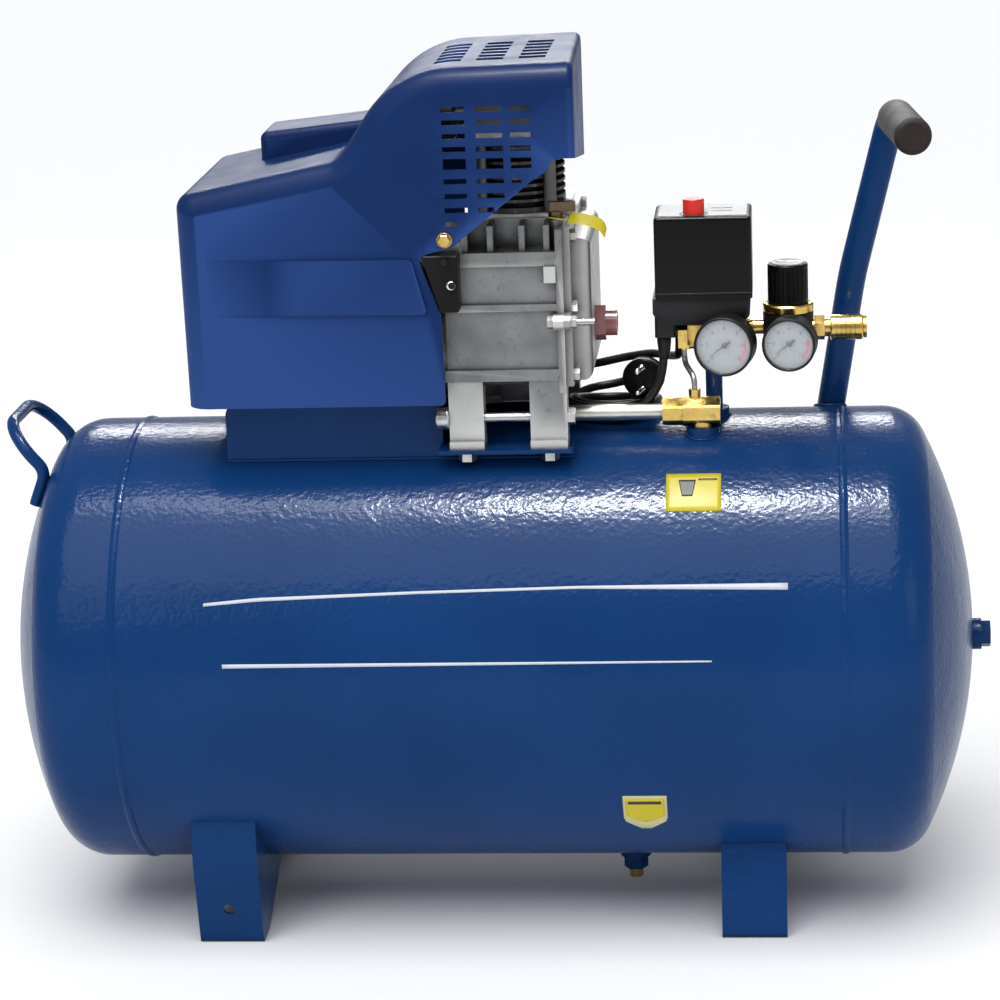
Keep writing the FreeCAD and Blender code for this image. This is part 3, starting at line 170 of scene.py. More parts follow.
class Surface:
    """A node material built up in steps: colour, roughness, bump, wear and painted corner shade, most of
    them from noise.
    """

    def __init__(self, name):
        self.material = bpy.data.materials.new(name)
        self.material.use_nodes = True
        self.tree = self.material.node_tree
        self.shader = self.tree.nodes["Principled BSDF"]
        self.place = self.node("ShaderNodeTexCoord").outputs["Object"]
        self.colour = None
        self.bump_normal = None

    def node(self, kind, **settings):
        made = self.tree.nodes.new(kind)
        for key, value in settings.items():
            setattr(made, key, value)
        return made

    def link(self, output, target):
        self.tree.links.new(output, target)

    def noise(self, scale, detail=3.0, rough=0.5, stretch=EVEN):
        mapping = self.node("ShaderNodeMapping")
        mapping.inputs["Scale"].default_value = stretch
        self.link(self.place, mapping.inputs["Vector"])
        made = self.node("ShaderNodeTexNoise")
        made.inputs["Scale"].default_value = scale
        made.inputs["Detail"].default_value = detail
        made.inputs["Roughness"].default_value = rough
        self.link(mapping.outputs["Vector"], made.inputs["Vector"])
        return made.outputs["Fac"]

    def spread(self, value, low, high, start=0.3, end=0.7):
        made = self.node("ShaderNodeMapRange")
        made.inputs["From Min"].default_value = start
        made.inputs["From Max"].default_value = end
        made.inputs["To Min"].default_value = low
        made.inputs["To Max"].default_value = high
        self.link(value, made.inputs["Value"])
        return made.outputs["Result"]

    def mix(self, factor, first, second):
        made = self.node("ShaderNodeMix", data_type="RGBA")
        self.link(factor, made.inputs["Factor"])
        for value, socket in ((first, made.inputs[6]), (second, made.inputs[7])):
            if isinstance(value, tuple):
                socket.default_value = (*value, 1.0)
            else:
                self.link(value, socket)
        return made.outputs[2]

    def paint(self, dark, light, scale=9.0, detail=4.0):
        self.colour = self.mix(self.spread(self.noise(scale, detail), 0.0, 1.0), dark, light)
        return self

    def speckle(self, tone, scale, start, end, stretch=EVEN):
        """Scatter spots or streaks of another tone over the colour so far."""
        self.colour = self.mix(self.spread(self.noise(scale, 5.0, 0.6, stretch), 0.0, 1.0, start, end),
                               self.colour, tone)
        return self

    def worn_edges(self, tone, start=0.53, end=0.60):
        """Lighten the outer edges, as handling does."""
        point = self.node("ShaderNodeNewGeometry").outputs["Pointiness"]
        self.colour = self.mix(self.spread(point, 0.0, 1.0, start, end), self.colour, tone)
        return self

    def painted_corner_shade(self, tone, reach=0.012, amount=0.8):
        """Painted shade: darken the inner corners, found by ambient occlusion."""
        near = self.node("ShaderNodeAmbientOcclusion", samples=4)
        near.inputs["Distance"].default_value = reach
        shade = self.spread(near.outputs["AO"], amount, 0.0, 0.25, 0.95)
        self.colour = self.mix(shade, self.colour, tone)
        return self

    def gloss(self, low, high, scale=30.0):
        self.link(self.spread(self.noise(scale), low, high), self.shader.inputs["Roughness"])
        return self

    def bump(self, scale, depth, detail=2.0, strength=1.0, stretch=EVEN, rough=0.5):
        made = self.node("ShaderNodeBump")
        made.inputs["Distance"].default_value = depth
        made.inputs["Strength"].default_value = strength
        self.link(self.noise(scale, detail, rough, stretch), made.inputs["Height"])
        if self.bump_normal is not None:
            self.link(self.bump_normal, made.inputs["Normal"])
        self.bump_normal = made.outputs["Normal"]
        return self

    def set(self, **values):
        for key, value in values.items():
            self.shader.inputs[key.replace("_", " ").title().replace("Ior", "IOR")].default_value = value
        return self

    def done(self):
        if self.colour is not None:
            self.link(self.colour, self.shader.inputs["Base Color"])
        if self.bump_normal is not None:
            self.link(self.bump_normal, self.shader.inputs["Normal"])
            self.link(self.bump_normal, self.shader.inputs["Coat Normal"])
        return self.material


def glossy_blue(name, peel):
    """Sprayed enamel with an orange-peel surface."""
    made = Surface(name).paint((0.0040, 0.034, 0.128), (0.0060, 0.042, 0.158), 6.0)
    made.speckle((0.015, 0.08, 0.26), 900.0, 0.66, 0.78)
    # Painted shade darkens the enamel's inner corners.
    made.painted_corner_shade((0.003, 0.008, 0.035), 0.010, 0.6)
    made.gloss(0.20, 0.28, 14.0).bump(210.0, peel, 1.5).bump(30.0, peel * 1.5, 1.0)
    return made.set(specular_ior_level=0.05, coat_weight=0.09, coat_roughness=0.10).done()


def moulded_plastic(name, dark, light, low, high, grain=700.0, depth=0.00008, coat=0.0, specular=0.3):
    """Moulded plastic with a fine grain, paler where its edges are rubbed."""
    made = Surface(name).paint(dark, light, 11.0)
    made.worn_edges(tuple(min(1.0, c * 1.8 + 0.01) for c in light))
    made.gloss(low, high, 25.0).bump(grain, depth, 2.0).bump(22.0, depth * 3.0, 1.0)
    return made.set(specular_ior_level=specular, coat_weight=coat, coat_roughness=0.2).done()


def cast_metal(name, dark, light, rough_low=0.36, rough_high=0.58, grain=650.0, edge=(0.62, 0.62, 0.61)):
    """Sand-textured die casting, with painted shade in its corners and brighter on its edges."""
    depth = 0.00022
    made = Surface(name).paint(dark, light, 26.0)
    made.speckle(tuple(c * 0.55 for c in dark), 240.0, 0.60, 0.76)
    # Lighter worn edges, and painted shade in the corners.
    made.worn_edges(edge).painted_corner_shade(tuple(c * 0.2 for c in dark), 0.010, 0.7)
    made.gloss(rough_low, rough_high, 60.0).bump(grain, depth, 3.0).bump(90.0, depth, 1.0)
    return made.set(metallic=0.82).done()


def turned_metal(name, dark, light, low=0.16, high=0.32, tarnish=None):
    """Machined bar stock: fine tool marks and a little tarnish."""
    made = Surface(name).paint(dark, light, 40.0)
    if tarnish:
        made.speckle(tarnish, 120.0, 0.55, 0.72)
    # Painted shade darkens the inner corners.
    made.painted_corner_shade(tuple(c * 0.25 for c in dark), 0.006, 0.8)
    made.gloss(low, high, 90.0).bump(900.0, 0.00004)
    return made.set(metallic=1.0).done()


def rubber_like(name, dark, light, low, high, grain=500.0, depth=0.0001):
    """Matt rubber or foam with a little pale dust on it."""
    made = Surface(name).paint(dark, light, 30.0).speckle((0.05, 0.048, 0.045), 150.0, 0.62, 0.8)
    made.gloss(low, high, 50.0).bump(grain, depth, 3.0)
    return made.set(specular_ior_level=0.25, sheen_weight=0.02).done()


def enamelled_wire(name):
    """Bundled copper wire under brown varnish."""
    made = Surface(name).paint((0.36, 0.11, 0.035), (0.55, 0.20, 0.07), 90.0)
    made.gloss(0.25, 0.4).bump(160.0, 0.0012, 1.0, 1.0, (0.25, 1.0, 1.0))
    return made.set(metallic=0.6, coat_weight=0.5).done()


def laminated_steel(name):
    """Stacked stampings: fine lines across the motor's axis."""
    made = Surface(name).paint((0.05, 0.05, 0.055), (0.12, 0.12, 0.125), 60.0)
    made.gloss(0.4, 0.6).bump(30.0, 0.0005, 0.0, 1.0, (60.0, 0.2, 0.2))
    return made.set(metallic=0.7).done()


def printed_card(name, colour, ink):
    """Printed film or card, with a faint fleck of its ink."""
    made = Surface(name).paint(tuple(c * 0.93 for c in colour), colour, 60.0)
    made.speckle(ink, 700.0, 0.72, 0.85)
    made.gloss(0.35, 0.5).bump(300.0, 0.00004)
    return made.set(specular_ior_level=0.12, coat_weight=0.02, coat_roughness=0.25).done()


def clear_glass(name):
    made = Surface(name).paint((0.93, 0.96, 0.97), (0.98, 0.99, 1.0), 20.0)
    made.gloss(0.02, 0.06)
    return made.set(alpha=0.16, specular_ior_level=0.9).done()


MATERIALS = {
    "tank_blue": glossy_blue("tank_enamel", 0.00042),
    "shroud_blue": moulded_plastic("shroud_plastic", (0.0055, 0.022, 0.096), (0.0075, 0.029, 0.120),
                                   0.38, 0.50, 600.0, 0.00010, 0.02, 0.05),
    "cast_alu": cast_metal("die_cast_alloy", (0.18, 0.184, 0.186), (0.29, 0.295, 0.295)),
    "machined_steel": turned_metal("plated_steel", (0.42, 0.42, 0.42), (0.60, 0.60, 0.60), 0.22, 0.4),
    "bright_zinc": turned_metal("bright_plate", (0.62, 0.62, 0.60), (0.78, 0.78, 0.76), 0.12, 0.25),
    "brass_fittings": turned_metal("brass", (0.55, 0.36, 0.09), (0.78, 0.56, 0.18), 0.16, 0.30,
                                   (0.42, 0.27, 0.10)),
    "black_plastic": moulded_plastic("black_moulding", (0.005, 0.005, 0.0055), (0.010, 0.010, 0.011),
                                     0.38, 0.52, 700.0, 0.00008, 0.0, 0.12),
    "gloss_black": moulded_plastic("black_cover", (0.0022, 0.0022, 0.0022), (0.0040, 0.0040, 0.0040),
                                   0.24, 0.36, 800.0, 0.00006, 0.02, 0.07),
    "red_plastic": moulded_plastic("red_moulding", (0.45, 0.014, 0.010), (0.60, 0.022, 0.015), 0.25, 0.35),
    "ivory_tube": turned_metal("tube_alloy", (0.62, 0.60, 0.54), (0.74, 0.72, 0.66), 0.30, 0.42),
    "black_rubber": rubber_like("cable_rubber", (0.005, 0.005, 0.005), (0.010, 0.010, 0.010), 0.36, 0.5),
    "grey_paper": printed_card("dial_card", (0.42, 0.46, 0.52), (0.36, 0.39, 0.45)),
    "copper_windings": enamelled_wire("enamelled_copper"),
    "laminated_core": laminated_steel("stampings"),
    "dark_casting": cast_metal("dark_casting", (0.020, 0.020, 0.021), (0.045, 0.045, 0.046),
                               0.45, 0.65, 500.0, (0.16, 0.16, 0.16)),
    "sight_plastic": moulded_plastic("sight_plastic", (0.17, 0.045, 0.045), (0.27, 0.10, 0.10),
                                     0.12, 0.22, 500.0, 0.00002, 0.6),
}
FOAM = rubber_like("grip_foam", (0.011, 0.0065, 0.0055), (0.020, 0.013, 0.011), 0.55, 0.75, 900.0, 0.0004)
YELLOW = printed_card("yellow_label", (0.62, 0.52, 0.030), (0.40, 0.33, 0.02))
CREAM = printed_card("label_border", (0.60, 0.57, 0.30), (0.45, 0.43, 0.25))
WHITE = printed_card("white_stripe", (0.62, 0.65, 0.72), (0.50, 0.53, 0.60))
INK = moulded_plastic("black_ink", (0.012, 0.012, 0.014), (0.018, 0.018, 0.02), 0.4, 0.5)
RED_INK = moulded_plastic("red_ink", (0.42, 0.02, 0.03), (0.55, 0.03, 0.04), 0.4, 0.5)
GLASS = clear_glass("lens_glass")
GREY_LABEL = printed_card("grey_label", (0.42, 0.43, 0.44), (0.35, 0.36, 0.37))
COVER_CAST = cast_metal("cover_casting", (0.095, 0.097, 0.095), (0.165, 0.167, 0.163),
                        edge=(0.4, 0.4, 0.39))
BRONZE = turned_metal("bronzed_plug", (0.10, 0.070, 0.045), (0.20, 0.15, 0.10), 0.3, 0.45)
WELD = glossy_blue("painted_weld", 0.0009)


def dress_nodes():
    """Give every carried-over piece its procedural material."""
    slots = {row["node"]: row["material_slot"] for row in frame["record"]["subparts"]}
    special = {"handle_grip": FOAM, "filler_plug": BRONZE, "crankcase_cover": COVER_CAST,
               "tank_gauge_needle": INK, "outlet_gauge_needle": INK}
    for name, piece in NODES.items():
        material = special.get(name, MATERIALS[slots[name]])
        piece.data.materials.clear()
        piece.data.materials.append(material)


# ---------------------------------------------------------------- mesh helpers
STUCK_ON = 0.05


def new_piece(name, mesh, material, body="frame", smooth=True):
    mesh.materials.append(material)
    if smooth:
        for face in mesh.polygons:
            face.use_smooth = True
    piece = bpy.data.objects.new(name, mesh)
    bpy.context.scene.collection.objects.link(piece)
    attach(piece, body)
    return piece


def from_bmesh(name, build, material, body="frame", smooth=True):
    mesh = bpy.data.meshes.new(name)
    bmesh.ops.recalc_face_normals(build, faces=build.faces)
    build.to_mesh(mesh)
    build.free()
    return new_piece(name, mesh, material, body, smooth)


def add_bevel(piece, width, segments=2):
    made = piece.modifiers.new("edges", "BEVEL")
    made.width = width
    made.segments = segments
    made.limit_method = "ANGLE"
    made.angle_limit = math.radians(35)
    made.harden_normals = True
    return piece


def axis_turn(direction):
    return Vector((0, 0, 1)).rotation_difference(Vector(direction).normalized()).to_matrix().to_4x4()


def add_lathe(build, profile, start, direction, steps=48, closed=False):
    """Turn a profile of (distance along the axis, radius) pairs about an axis, into build."""
    place = Matrix.Translation(Vector(start)) @ axis_turn(direction)
    rings = []
    for along, radius in profile:
        ring = []
        for i in range(steps):
            angle = 2 * math.pi * i / steps
            point = Vector((radius * math.cos(angle), radius * math.sin(angle), along))
            ring.append(build.verts.new(place @ point))
        rings.append(ring)
    pairs = list(zip(rings, rings[1:]))
    if closed:
        pairs.append((rings[-1], rings[0]))
    for lower, upper in pairs:
        for i in range(steps):
            j = (i + 1) % steps
            build.faces.new((lower[i], lower[j], upper[j], upper[i]))
    if not closed:
        build.faces.new(list(reversed(rings[0])))
        build.faces.new(rings[-1])


def lathe(name, profile, start, direction, material, body="frame", steps=48, closed=False):
    build = bmesh.new()
    add_lathe(build, profile, start, direction, steps, closed)
    return from_bmesh(name, build, material, body)


def add_block(build, centre, size, turn=None):
    made = bmesh.ops.create_cube(build, size=1.0)["verts"]
    place = Matrix.Translation(Vector(centre)) @ (turn or Matrix.Identity(4))
    bmesh.ops.transform(build, matrix=place @ Matrix.Diagonal((*size, 1.0)), verts=made)


def add_tube(build, points, radii, steps=12):
    """A capped tube through points, with one radius for each point."""
    rings = []
    side = None
    for i, point in enumerate(points):
        ahead = points[min(i + 1, len(points) - 1)] - points[max(i - 1, 0)]
        ahead.normalize()
        if side is None:
            side = ahead.orthogonal().normalized()
        side = (side - ahead * side.dot(ahead)).normalized()
        other = ahead.cross(side)
        ring = []
        for k in range(steps):
            angle = 2 * math.pi * k / steps
            offset = side * math.cos(angle) + other * math.sin(angle)
            ring.append(build.verts.new(point + offset * radii[i]))
        rings.append(ring)
    for lower, upper in zip(rings, rings[1:]):
        for k in range(steps):
            j = (k + 1) % steps
            build.faces.new((lower[k], lower[j], upper[j], upper[k]))
    build.faces.new(list(reversed(rings[0])))
    build.faces.new(rings[-1])


def weld_bead(name, points, radius, seed, closed=False):
    """A lumpy painted weld bead that follows points."""
    chance = random.Random(seed)
    fine = []
    count = len(points) if closed else len(points) - 1
    for i in range(count):
        a, b = points[i], points[(i + 1) % len(points)]
        steps = max(2, int((b - a).length / 0.0022))
        for k in range(steps):
            fine.append(a.lerp(b, k / steps))
    fine.append(points[0] if closed else points[-1])
    radii = []
    for i in range(len(fine)):
        ripple = 0.82 + 0.30 * abs(math.sin(i * 1.3))
        radii.append(radius * (ripple + chance.uniform(-0.06, 0.06)))
    build = bmesh.new()
    add_tube(build, fine, radii, 8)
    return from_bmesh(name, build, WELD)


def on_tank(x, angle, lift=0.0):
    """A point on the shell: x in millimetres, angle in degrees from the top towards the front."""
    radius = TANK_R + lift
    turn = math.radians(angle)
    return at(x, -radius * math.sin(turn), radius * math.cos(turn))


def tank_patch(name, outline_of, angle0, angle1, material, lift=0.35, columns=12, rows=8):
    """A thin printed sheet stuck on the shell; outline_of(t) gives its left and right x at height t."""
    build = bmesh.new()
    layers = []
    for level in (lift, STUCK_ON):
        grid = []
        for r in range(rows + 1):
            t = r / rows
            left, right = outline_of(t)
            line = []
            for c in range(columns + 1):
                x = left + (right - left) * c / columns
                line.append(build.verts.new(on_tank(x, angle0 + (angle1 - angle0) * t, level)))
            grid.append(line)
        layers.append(grid)
    for grid in layers:
        for r in range(rows):
            for c in range(columns):
                build.faces.new((grid[r][c], grid[r][c + 1], grid[r + 1][c + 1], grid[r + 1][c]))
    top, under = layers
    edge = [(0, c) for c in range(columns)] + [(r, columns) for r in range(rows)]
    edge += [(rows, c) for c in range(columns, 0, -1)] + [(r, 0) for r in range(rows, 0, -1)]
    for i, (r, c) in enumerate(edge):
        r2, c2 = edge[(i + 1) % len(edge)]
        build.faces.new((top[r][c], top[r2][c2], under[r2][c2], under[r][c]))
    return from_bmesh(name, build, material)


# ---------------------------------------------------------------- cords
CORD_D = 0.0076
COIL_X, COIL_Y = 108.0, 22.0
RING_IN, RING_MID, RING_OUT = 30.5, 38.0, 45.5
LAYER_REST, LAYER_STEP = 204.2, 7.8
TURN_STEP = 20
RING_STEPS = ((0, RING_OUT, 0.0), (320, RING_OUT, 0.0), (360, RING_MID, 0.0), (680, RING_MID, 0.0),
              (720, RING_IN, 0.0), (1000, RING_IN, 0.0), (1040, RING_IN, 1.0), (1320, RING_IN, 1.0),
              (1360, RING_MID, 1.0), (1680, RING_MID, 1.0), (1720, RING_OUT, 1.0), (1950, RING_OUT, 1.0))
LEAD_EXIT = at(160, -30, 279)


def ring_state(turned):
    """Radius and layer of the coiled lead after it has turned so many degrees."""
    for (a0, r0, l0), (a1, r1, l1) in zip(RING_STEPS, RING_STEPS[1:]):
        if turned <= a1:
            t = (turned - a0) / (a1 - a0)
            t = t * t * (3.0 - 2.0 * t)
            return r0 + (r1 - r0) * t, l0 + (l1 - l0) * t
    return RING_STEPS[-1][1:]


def coil_points():
    """The bundled turns, which lie on the tank in two layers."""
    points = []
    for turned in range(10, RING_STEPS[-1][0], TURN_STEP):
        radius, layer = ring_state(turned)
        angle = math.radians(270.0 - turned)
        y = COIL_Y + radius * math.sin(angle)
        height = math.sqrt((LAYER_REST + LAYER_STEP * layer) ** 2 - y * y)
        points.append(at(COIL_X + radius * math.cos(angle), y, height))
    return points


def nurbs(name, points, radius, material):
    """A round cord on a smooth spline; each point holds the radius, which keeps the curve's box true."""
    curve = bpy.data.curves.new(name, "CURVE")
    curve.dimensions = "3D"
    spline = curve.splines.new("NURBS")
    spline.points.add(len(points) - 1)
    for target, point in zip(spline.points, points):
        target.co = (*point, 1.0)
        target.radius = radius
    spline.order_u = 3
    spline.use_endpoint_u = True
    spline.resolution_u = 6
    curve.bevel_depth = 1.0
    curve.bevel_resolution = 5
    curve.use_fill_caps = True
    curve.materials.append(material)
    piece = bpy.data.objects.new(name, curve)
    bpy.context.scene.collection.objects.link(piece)
    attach(piece, "frame")
    return piece


def length_of(piece):
    """Length of a curve's own centre line."""
    depth = piece.data.bevel_depth
    piece.data.bevel_depth = 0.0
    bpy.context.view_layer.update()
    made = bpy.data.meshes.new_from_object(piece)
    piece.data.bevel_depth = depth
    points = [v.co.copy() for v in made.vertices]
    bpy.data.meshes.remove(made)
    return sum((b - a).length for a, b in zip(points, points[1:]))


def add_strain_relief():
    build = bmesh.new()
    add_tube(build, [at(160, -30, 280), at(160, -30, 274), at(160, -30, 266), at(160, -30.1, 258)],
             [0.0064, 0.0062, 0.0054, 0.0045], 24)
    return from_bmesh("lead_strain_relief", build, MATERIALS["black_rubber"])


def add_plug(rear, direction):
    """The plug's boot, body and pins, from the cord's end onwards."""
    build = bmesh.new()
    spine = [rear - direction * d for d in (0.022, 0.016, 0.010, 0.004, -0.002)]
    add_tube(build, spine, [0.0046, 0.0054, 0.0062, 0.0072, 0.0080], 24)
    boot = from_bmesh("plug_boot", build, MATERIALS["black_rubber"])
    profile = [(0.0, 0.0075), (0.0008, 0.0098), (0.004, 0.0128), (0.009, 0.0150), (0.0135, 0.0158),
               (0.014, 0.0172), (0.0155, 0.0176), (0.017, 0.0165), (0.0195, 0.0165), (0.021, 0.0178),
               (0.0285, 0.0179), (0.0296, 0.0172), (0.030, 0.0160)]
    body = lathe("mains_plug_body", profile, rear, direction, MATERIALS["gloss_black"])
    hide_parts("mains_plug")
    build = bmesh.new()
    pin = [(0.0, 0.0034), (0.0006, 0.0034), (0.0008, 0.0024), (0.0150, 0.0024), (0.0166, 0.0018),
           (0.0170, 0.0010)]
    for offset in (-0.0095, 0.0095):
        add_lathe(build, pin, rear + direction * 0.030 + Vector((0, 0, offset)), direction, 20)
    pins = from_bmesh("mains_plug_pins", build, MATERIALS["bright_zinc"])
    return [boot, body, pins]


def add_mains_lead():
    down = [LEAD_EXIT, at(160, -30, 248), at(148, -29, 222), at(127, -27, 206), at(112, -24.3, 203)]
    tail = [at(87, 68, 210.3), at(108.5, 74, 212), at(130.5, 69, 218.5), at(145, 55, 227.5),
            at(149, 34, 236.5), at(145, 15, 236.5)]
    route = down + coil_points() + tail
    lead = nurbs("mains_lead", route, CORD_D / 2, MATERIALS["black_rubber"])
    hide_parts("mains_lead_tube", "mains_lead_coil")
    length = length_of(lead)
    relief = add_strain_relief()
    plug_pieces = add_plug(tail[-1], (tail[-1] - tail[-2]).normalized())
    tie = add_tie(math.radians(-35.0))


def add_tie(angle):
    """A flat tie around the coiled turns."""
    outward = Vector((math.cos(angle), math.sin(angle), 0.0))
    centre_y = COIL_Y + RING_MID * math.sin(angle)
    up = Vector((0.0, centre_y, math.sqrt(208.0 ** 2 - centre_y ** 2))).normalized()
    outward = (outward - up * outward.dot(up)).normalized()
    along = up.cross(outward)
    height = math.sqrt(208.1 ** 2 - centre_y ** 2)
    centre = at(COIL_X + RING_MID * math.cos(angle), centre_y, height)
    half_w, half_h, turn_r, strap, half_strap = 0.0122, 0.0082, 0.0036, 0.0009, 0.0022
    loop = []
    for cx, cy, start in ((1, 1, 0), (-1, 1, 90), (-1, -1, 180), (1, -1, 270)):
        for k in range(5):
            a = math.radians(start + 22.5 * k)
            loop.append((cx * (half_w - turn_r) + turn_r * math.cos(a),
                         cy * (half_h - turn_r) + turn_r * math.sin(a)))
    build = bmesh.new()
    rows = []
    for shift, grow in ((-half_strap, 0.0), (half_strap, 0.0), (half_strap, strap), (-half_strap, strap)):
        row = []
        for u, v in loop:
            wider = 1 + grow / math.hypot(u, v)
            point = centre + outward * (u * wider) + up * (v * wider) + along * shift
            row.append(build.verts.new(point))
        rows.append(row)
    for a, b in zip(rows, rows[1:] + rows[:1]):
        for k in range(len(loop)):
            j = (k + 1) % len(loop)
            build.faces.new((a[k], a[j], b[j], b[k]))
    return from_bmesh("lead_tie", build, MATERIALS["black_plastic"])


# ---------------------------------------------------------------- gauges
GAUGE_FACE_Y = -75.0
DIAL_DEPTH = 0.00716
DIAL_START, DIAL_SWEEP = 225.0, 270.0
DIAL_STEPS, FIRST_RED_STEP = 60, 47


def gauge_frame(root, yaw):
    """Matrix of a gauge's own frame: its axis is -Y, its stem starts at the origin."""
    return Matrix.Translation(at(*root)) @ Matrix.Rotation(-math.radians(yaw), 4, "Z")


def dial_text(word, size, place, name):
    curve = bpy.data.curves.new(name, "FONT")
    curve.body = word
    curve.size = size
    curve.align_x = "CENTER"
    curve.align_y = "CENTER"
    curve.extrude = 0.00004
    curve.resolution_u = 3
    holder = bpy.data.objects.new(name, curve)
    bpy.context.scene.collection.objects.link(holder)
    bpy.context.view_layer.update()
    mesh = bpy.data.meshes.new_from_object(holder)
    bpy.data.objects.remove(holder)
    mesh.transform(place)
    return mesh


def join_meshes(name, meshes, material, body="frame"):
    build = bmesh.new()
    for mesh in meshes:
        build.from_mesh(mesh)
        bpy.data.meshes.remove(mesh)
    made = bpy.data.meshes.new(name)
    build.to_mesh(made)
    build.free()
    return new_piece(name, made, material, body, False)


def add_dial_ticks(name, place, front, r, body):
    """Short, middle and long ticks, and an arc of red over the highest readings."""
    ticks = bmesh.new()
    reds = bmesh.new()
    for i in range(DIAL_STEPS + 1):
        angle = math.radians(DIAL_START - DIAL_SWEEP * i / DIAL_STEPS)
        major = i % 10 == 0
        half = 0.0021 if major else (0.0013 if i % 5 == 0 else 0.0008)
        turn = place @ Matrix.Rotation(-angle, 4, "Y")
        centre = turn @ Vector((r * 0.88 - half, front + DIAL_DEPTH, 0))
        size = (2 * half, 0.0001, 0.0005 if major else 0.00028)
        add_block(reds if i >= FIRST_RED_STEP else ticks, centre, size, turn.to_3x3().to_4x4())
    red_blocks = 24
    size = (0.0020, 0.00008, r * 0.72 * math.radians(60) / (red_blocks - 1))
    for i in range(red_blocks):
        angle = math.radians(DIAL_START - DIAL_SWEEP * (0.78 + 0.22 * (i + 0.5) / red_blocks))
        turn = place @ Matrix.Rotation(-angle, 4, "Y")
        centre = turn @ Vector((r * 0.70, front + DIAL_DEPTH + 0.00001, 0))
        add_block(reds, centre, size, turn.to_3x3().to_4x4())
    from_bmesh(name + "_ticks", ticks, INK, body, False)
    from_bmesh(name + "_red_arc", reds, RED_INK, body, False)


def add_dial_numbers(name, place, front, r, body, top):
    upright = Matrix.Rotation(math.radians(90), 4, "X")
    words = []
    for i in range(7):
        angle = math.radians(DIAL_START - DIAL_SWEEP * i / 6)
        x, z = r * 0.60 * math.cos(angle), r * 0.60 * math.sin(angle)
        stand = place @ Matrix.Translation((x, front + DIAL_DEPTH - 0.00002, z)) @ upright
        words.append(dial_text(str(i * top // 6), r * 0.21, stand, name + "_number"))
    join_meshes(name + "_numbers", words, INK, body)


def add_gauge(name, root, yaw, radius, body, needle_body, top):
    """A gauge's bezel, lens and printed dial; its case and needle are CAD nodes."""
    front = -(root[1] - GAUGE_FACE_Y) / math.cos(math.radians(yaw)) / 1000.0
    place = gauge_frame(root, yaw)
    r = radius / 1000.0
    face = place @ Vector((0, front, 0))
    axis = place.to_3x3() @ Vector((0, 1, 0))
    ring = [(0.0, r - 0.0017), (-0.0005, r - 0.0014), (-0.0007, r - 0.0007), (-0.0004, r + 0.0001),
            (0.0015, r + 0.0004), (0.0060, r + 0.0004), (0.0064, r + 0.0001), (0.0064, r - 0.0014)]
    lathe(name + "_bezel", ring, face, axis, MATERIALS["black_plastic"], body, 64, True)
    lens = [(0.0008, 0.0004), (0.0008, r - 0.0022), (0.0018, r - 0.0017), (0.0022, r - 0.0022),
            (0.0022, 0.0004)]
    lathe(name + "_lens", lens, face, axis, GLASS, body, 64, True)
    add_dial_ticks(name, place, front, r, body)
    add_dial_numbers(name, place, front, r, body, top)
    hub = [(-0.0002, 0.0014), (0.0, 0.0021), (0.0012, 0.0021), (0.0013, 0.0010)]
    hub_place = place @ Vector((0, front + 0.0040, 0))
    lathe(name + "_needle_cap", hub, hub_place, axis, INK, needle_body, 24)


# ---------------------------------------------------------------- labels, welds and small parts
def tank_stripe(name, stations, material, lift=0.3, columns=60):
    """A thin printed stripe on the shell, through stations of (x, upper angle, lower angle)."""
    build = bmesh.new()
    lines = []
    for c in range(columns + 1):
        x = stations[0][0] + (stations[-1][0] - stations[0][0]) * c / columns
        span = [k for k in range(len(stations) - 1) if x >= stations[k][0] - 0.001][-1]
        first, second = stations[span], stations[span + 1]
        t = (x - first[0]) / (second[0] - first[0])
        upper = first[1] + (second[1] - first[1]) * t
        lower = first[2] + (second[2] - first[2]) * t
        corners = ((upper, lift), (lower, lift), (lower, STUCK_ON), (upper, STUCK_ON))
        lines.append([build.verts.new(on_tank(x, angle, level)) for angle, level in corners])
    for left, right in zip(lines, lines[1:]):
        for k in range(4):
            j = (k + 1) % 4
            build.faces.new((left[k], left[j], right[j], right[k]))
    build.faces.new(lines[0])
    build.faces.new(list(reversed(lines[-1])))
    return from_bmesh(name, build, material)


def drain_label_edges(border):
    """Left and right edges of the drain label, which narrows to a blunt tongue at its foot."""
    def edges(t):
        draw_in = border + 15.0 * max(0.0, t - 0.72) / 0.28
        return 120.5 + draw_in, 158.5 - draw_in
    return edges


def add_labels():
    tank_patch("tank_label", lambda t: (161.9, 208.9), 30.5, 42.2, YELLOW)
    tank_patch("tank_label_mark", lambda t: (172.5 + 3.0 * t, 187.5 - 3.0 * t), 32.6, 37.8, INK,
               0.5)
    tank_patch("tank_label_line", lambda t: (189.5, 205.5), 32.2, 32.8, INK, 0.5, 6, 1)
    tank_patch("drain_label", drain_label_edges(0.0), 117.6, 131.6, CREAM)
    tank_patch("drain_label_panel", drain_label_edges(2.2), 118.6, 128.2, YELLOW, 0.5)
    tank_patch("drain_label_line", lambda t: (125.0, 153.5), 119.6, 120.7, INK, 0.65, 6, 1)
    upper = ((-232.3, 64.8, 65.6), (-185.8, 63.6, 64.5), (-53.0, 62.4, 63.1), (88.1, 61.5, 62.2),
             (264.7, 61.3, 63.0))
    tank_stripe("upper_stripe", upper, WHITE)
    lower = ((-216.4, 79.8, 80.8), (200.3, 79.9, 80.3))
    tank_stripe("lower_stripe", lower, WHITE)


def ring_around(centre_x, centre_y, radius, over=0.4, side=1, count=40):
    """Points where an upright round part meets the shell, on its top (side 1) or under it (-1)."""
    points = []
    for i in range(count):
        angle = 2 * math.pi * i / count
        y = centre_y + radius * math.sin(angle)
        height = math.sqrt((TANK_R + over) ** 2 - y * y)
        points.append(at(centre_x + radius * math.cos(angle), y, side * height))
    return points


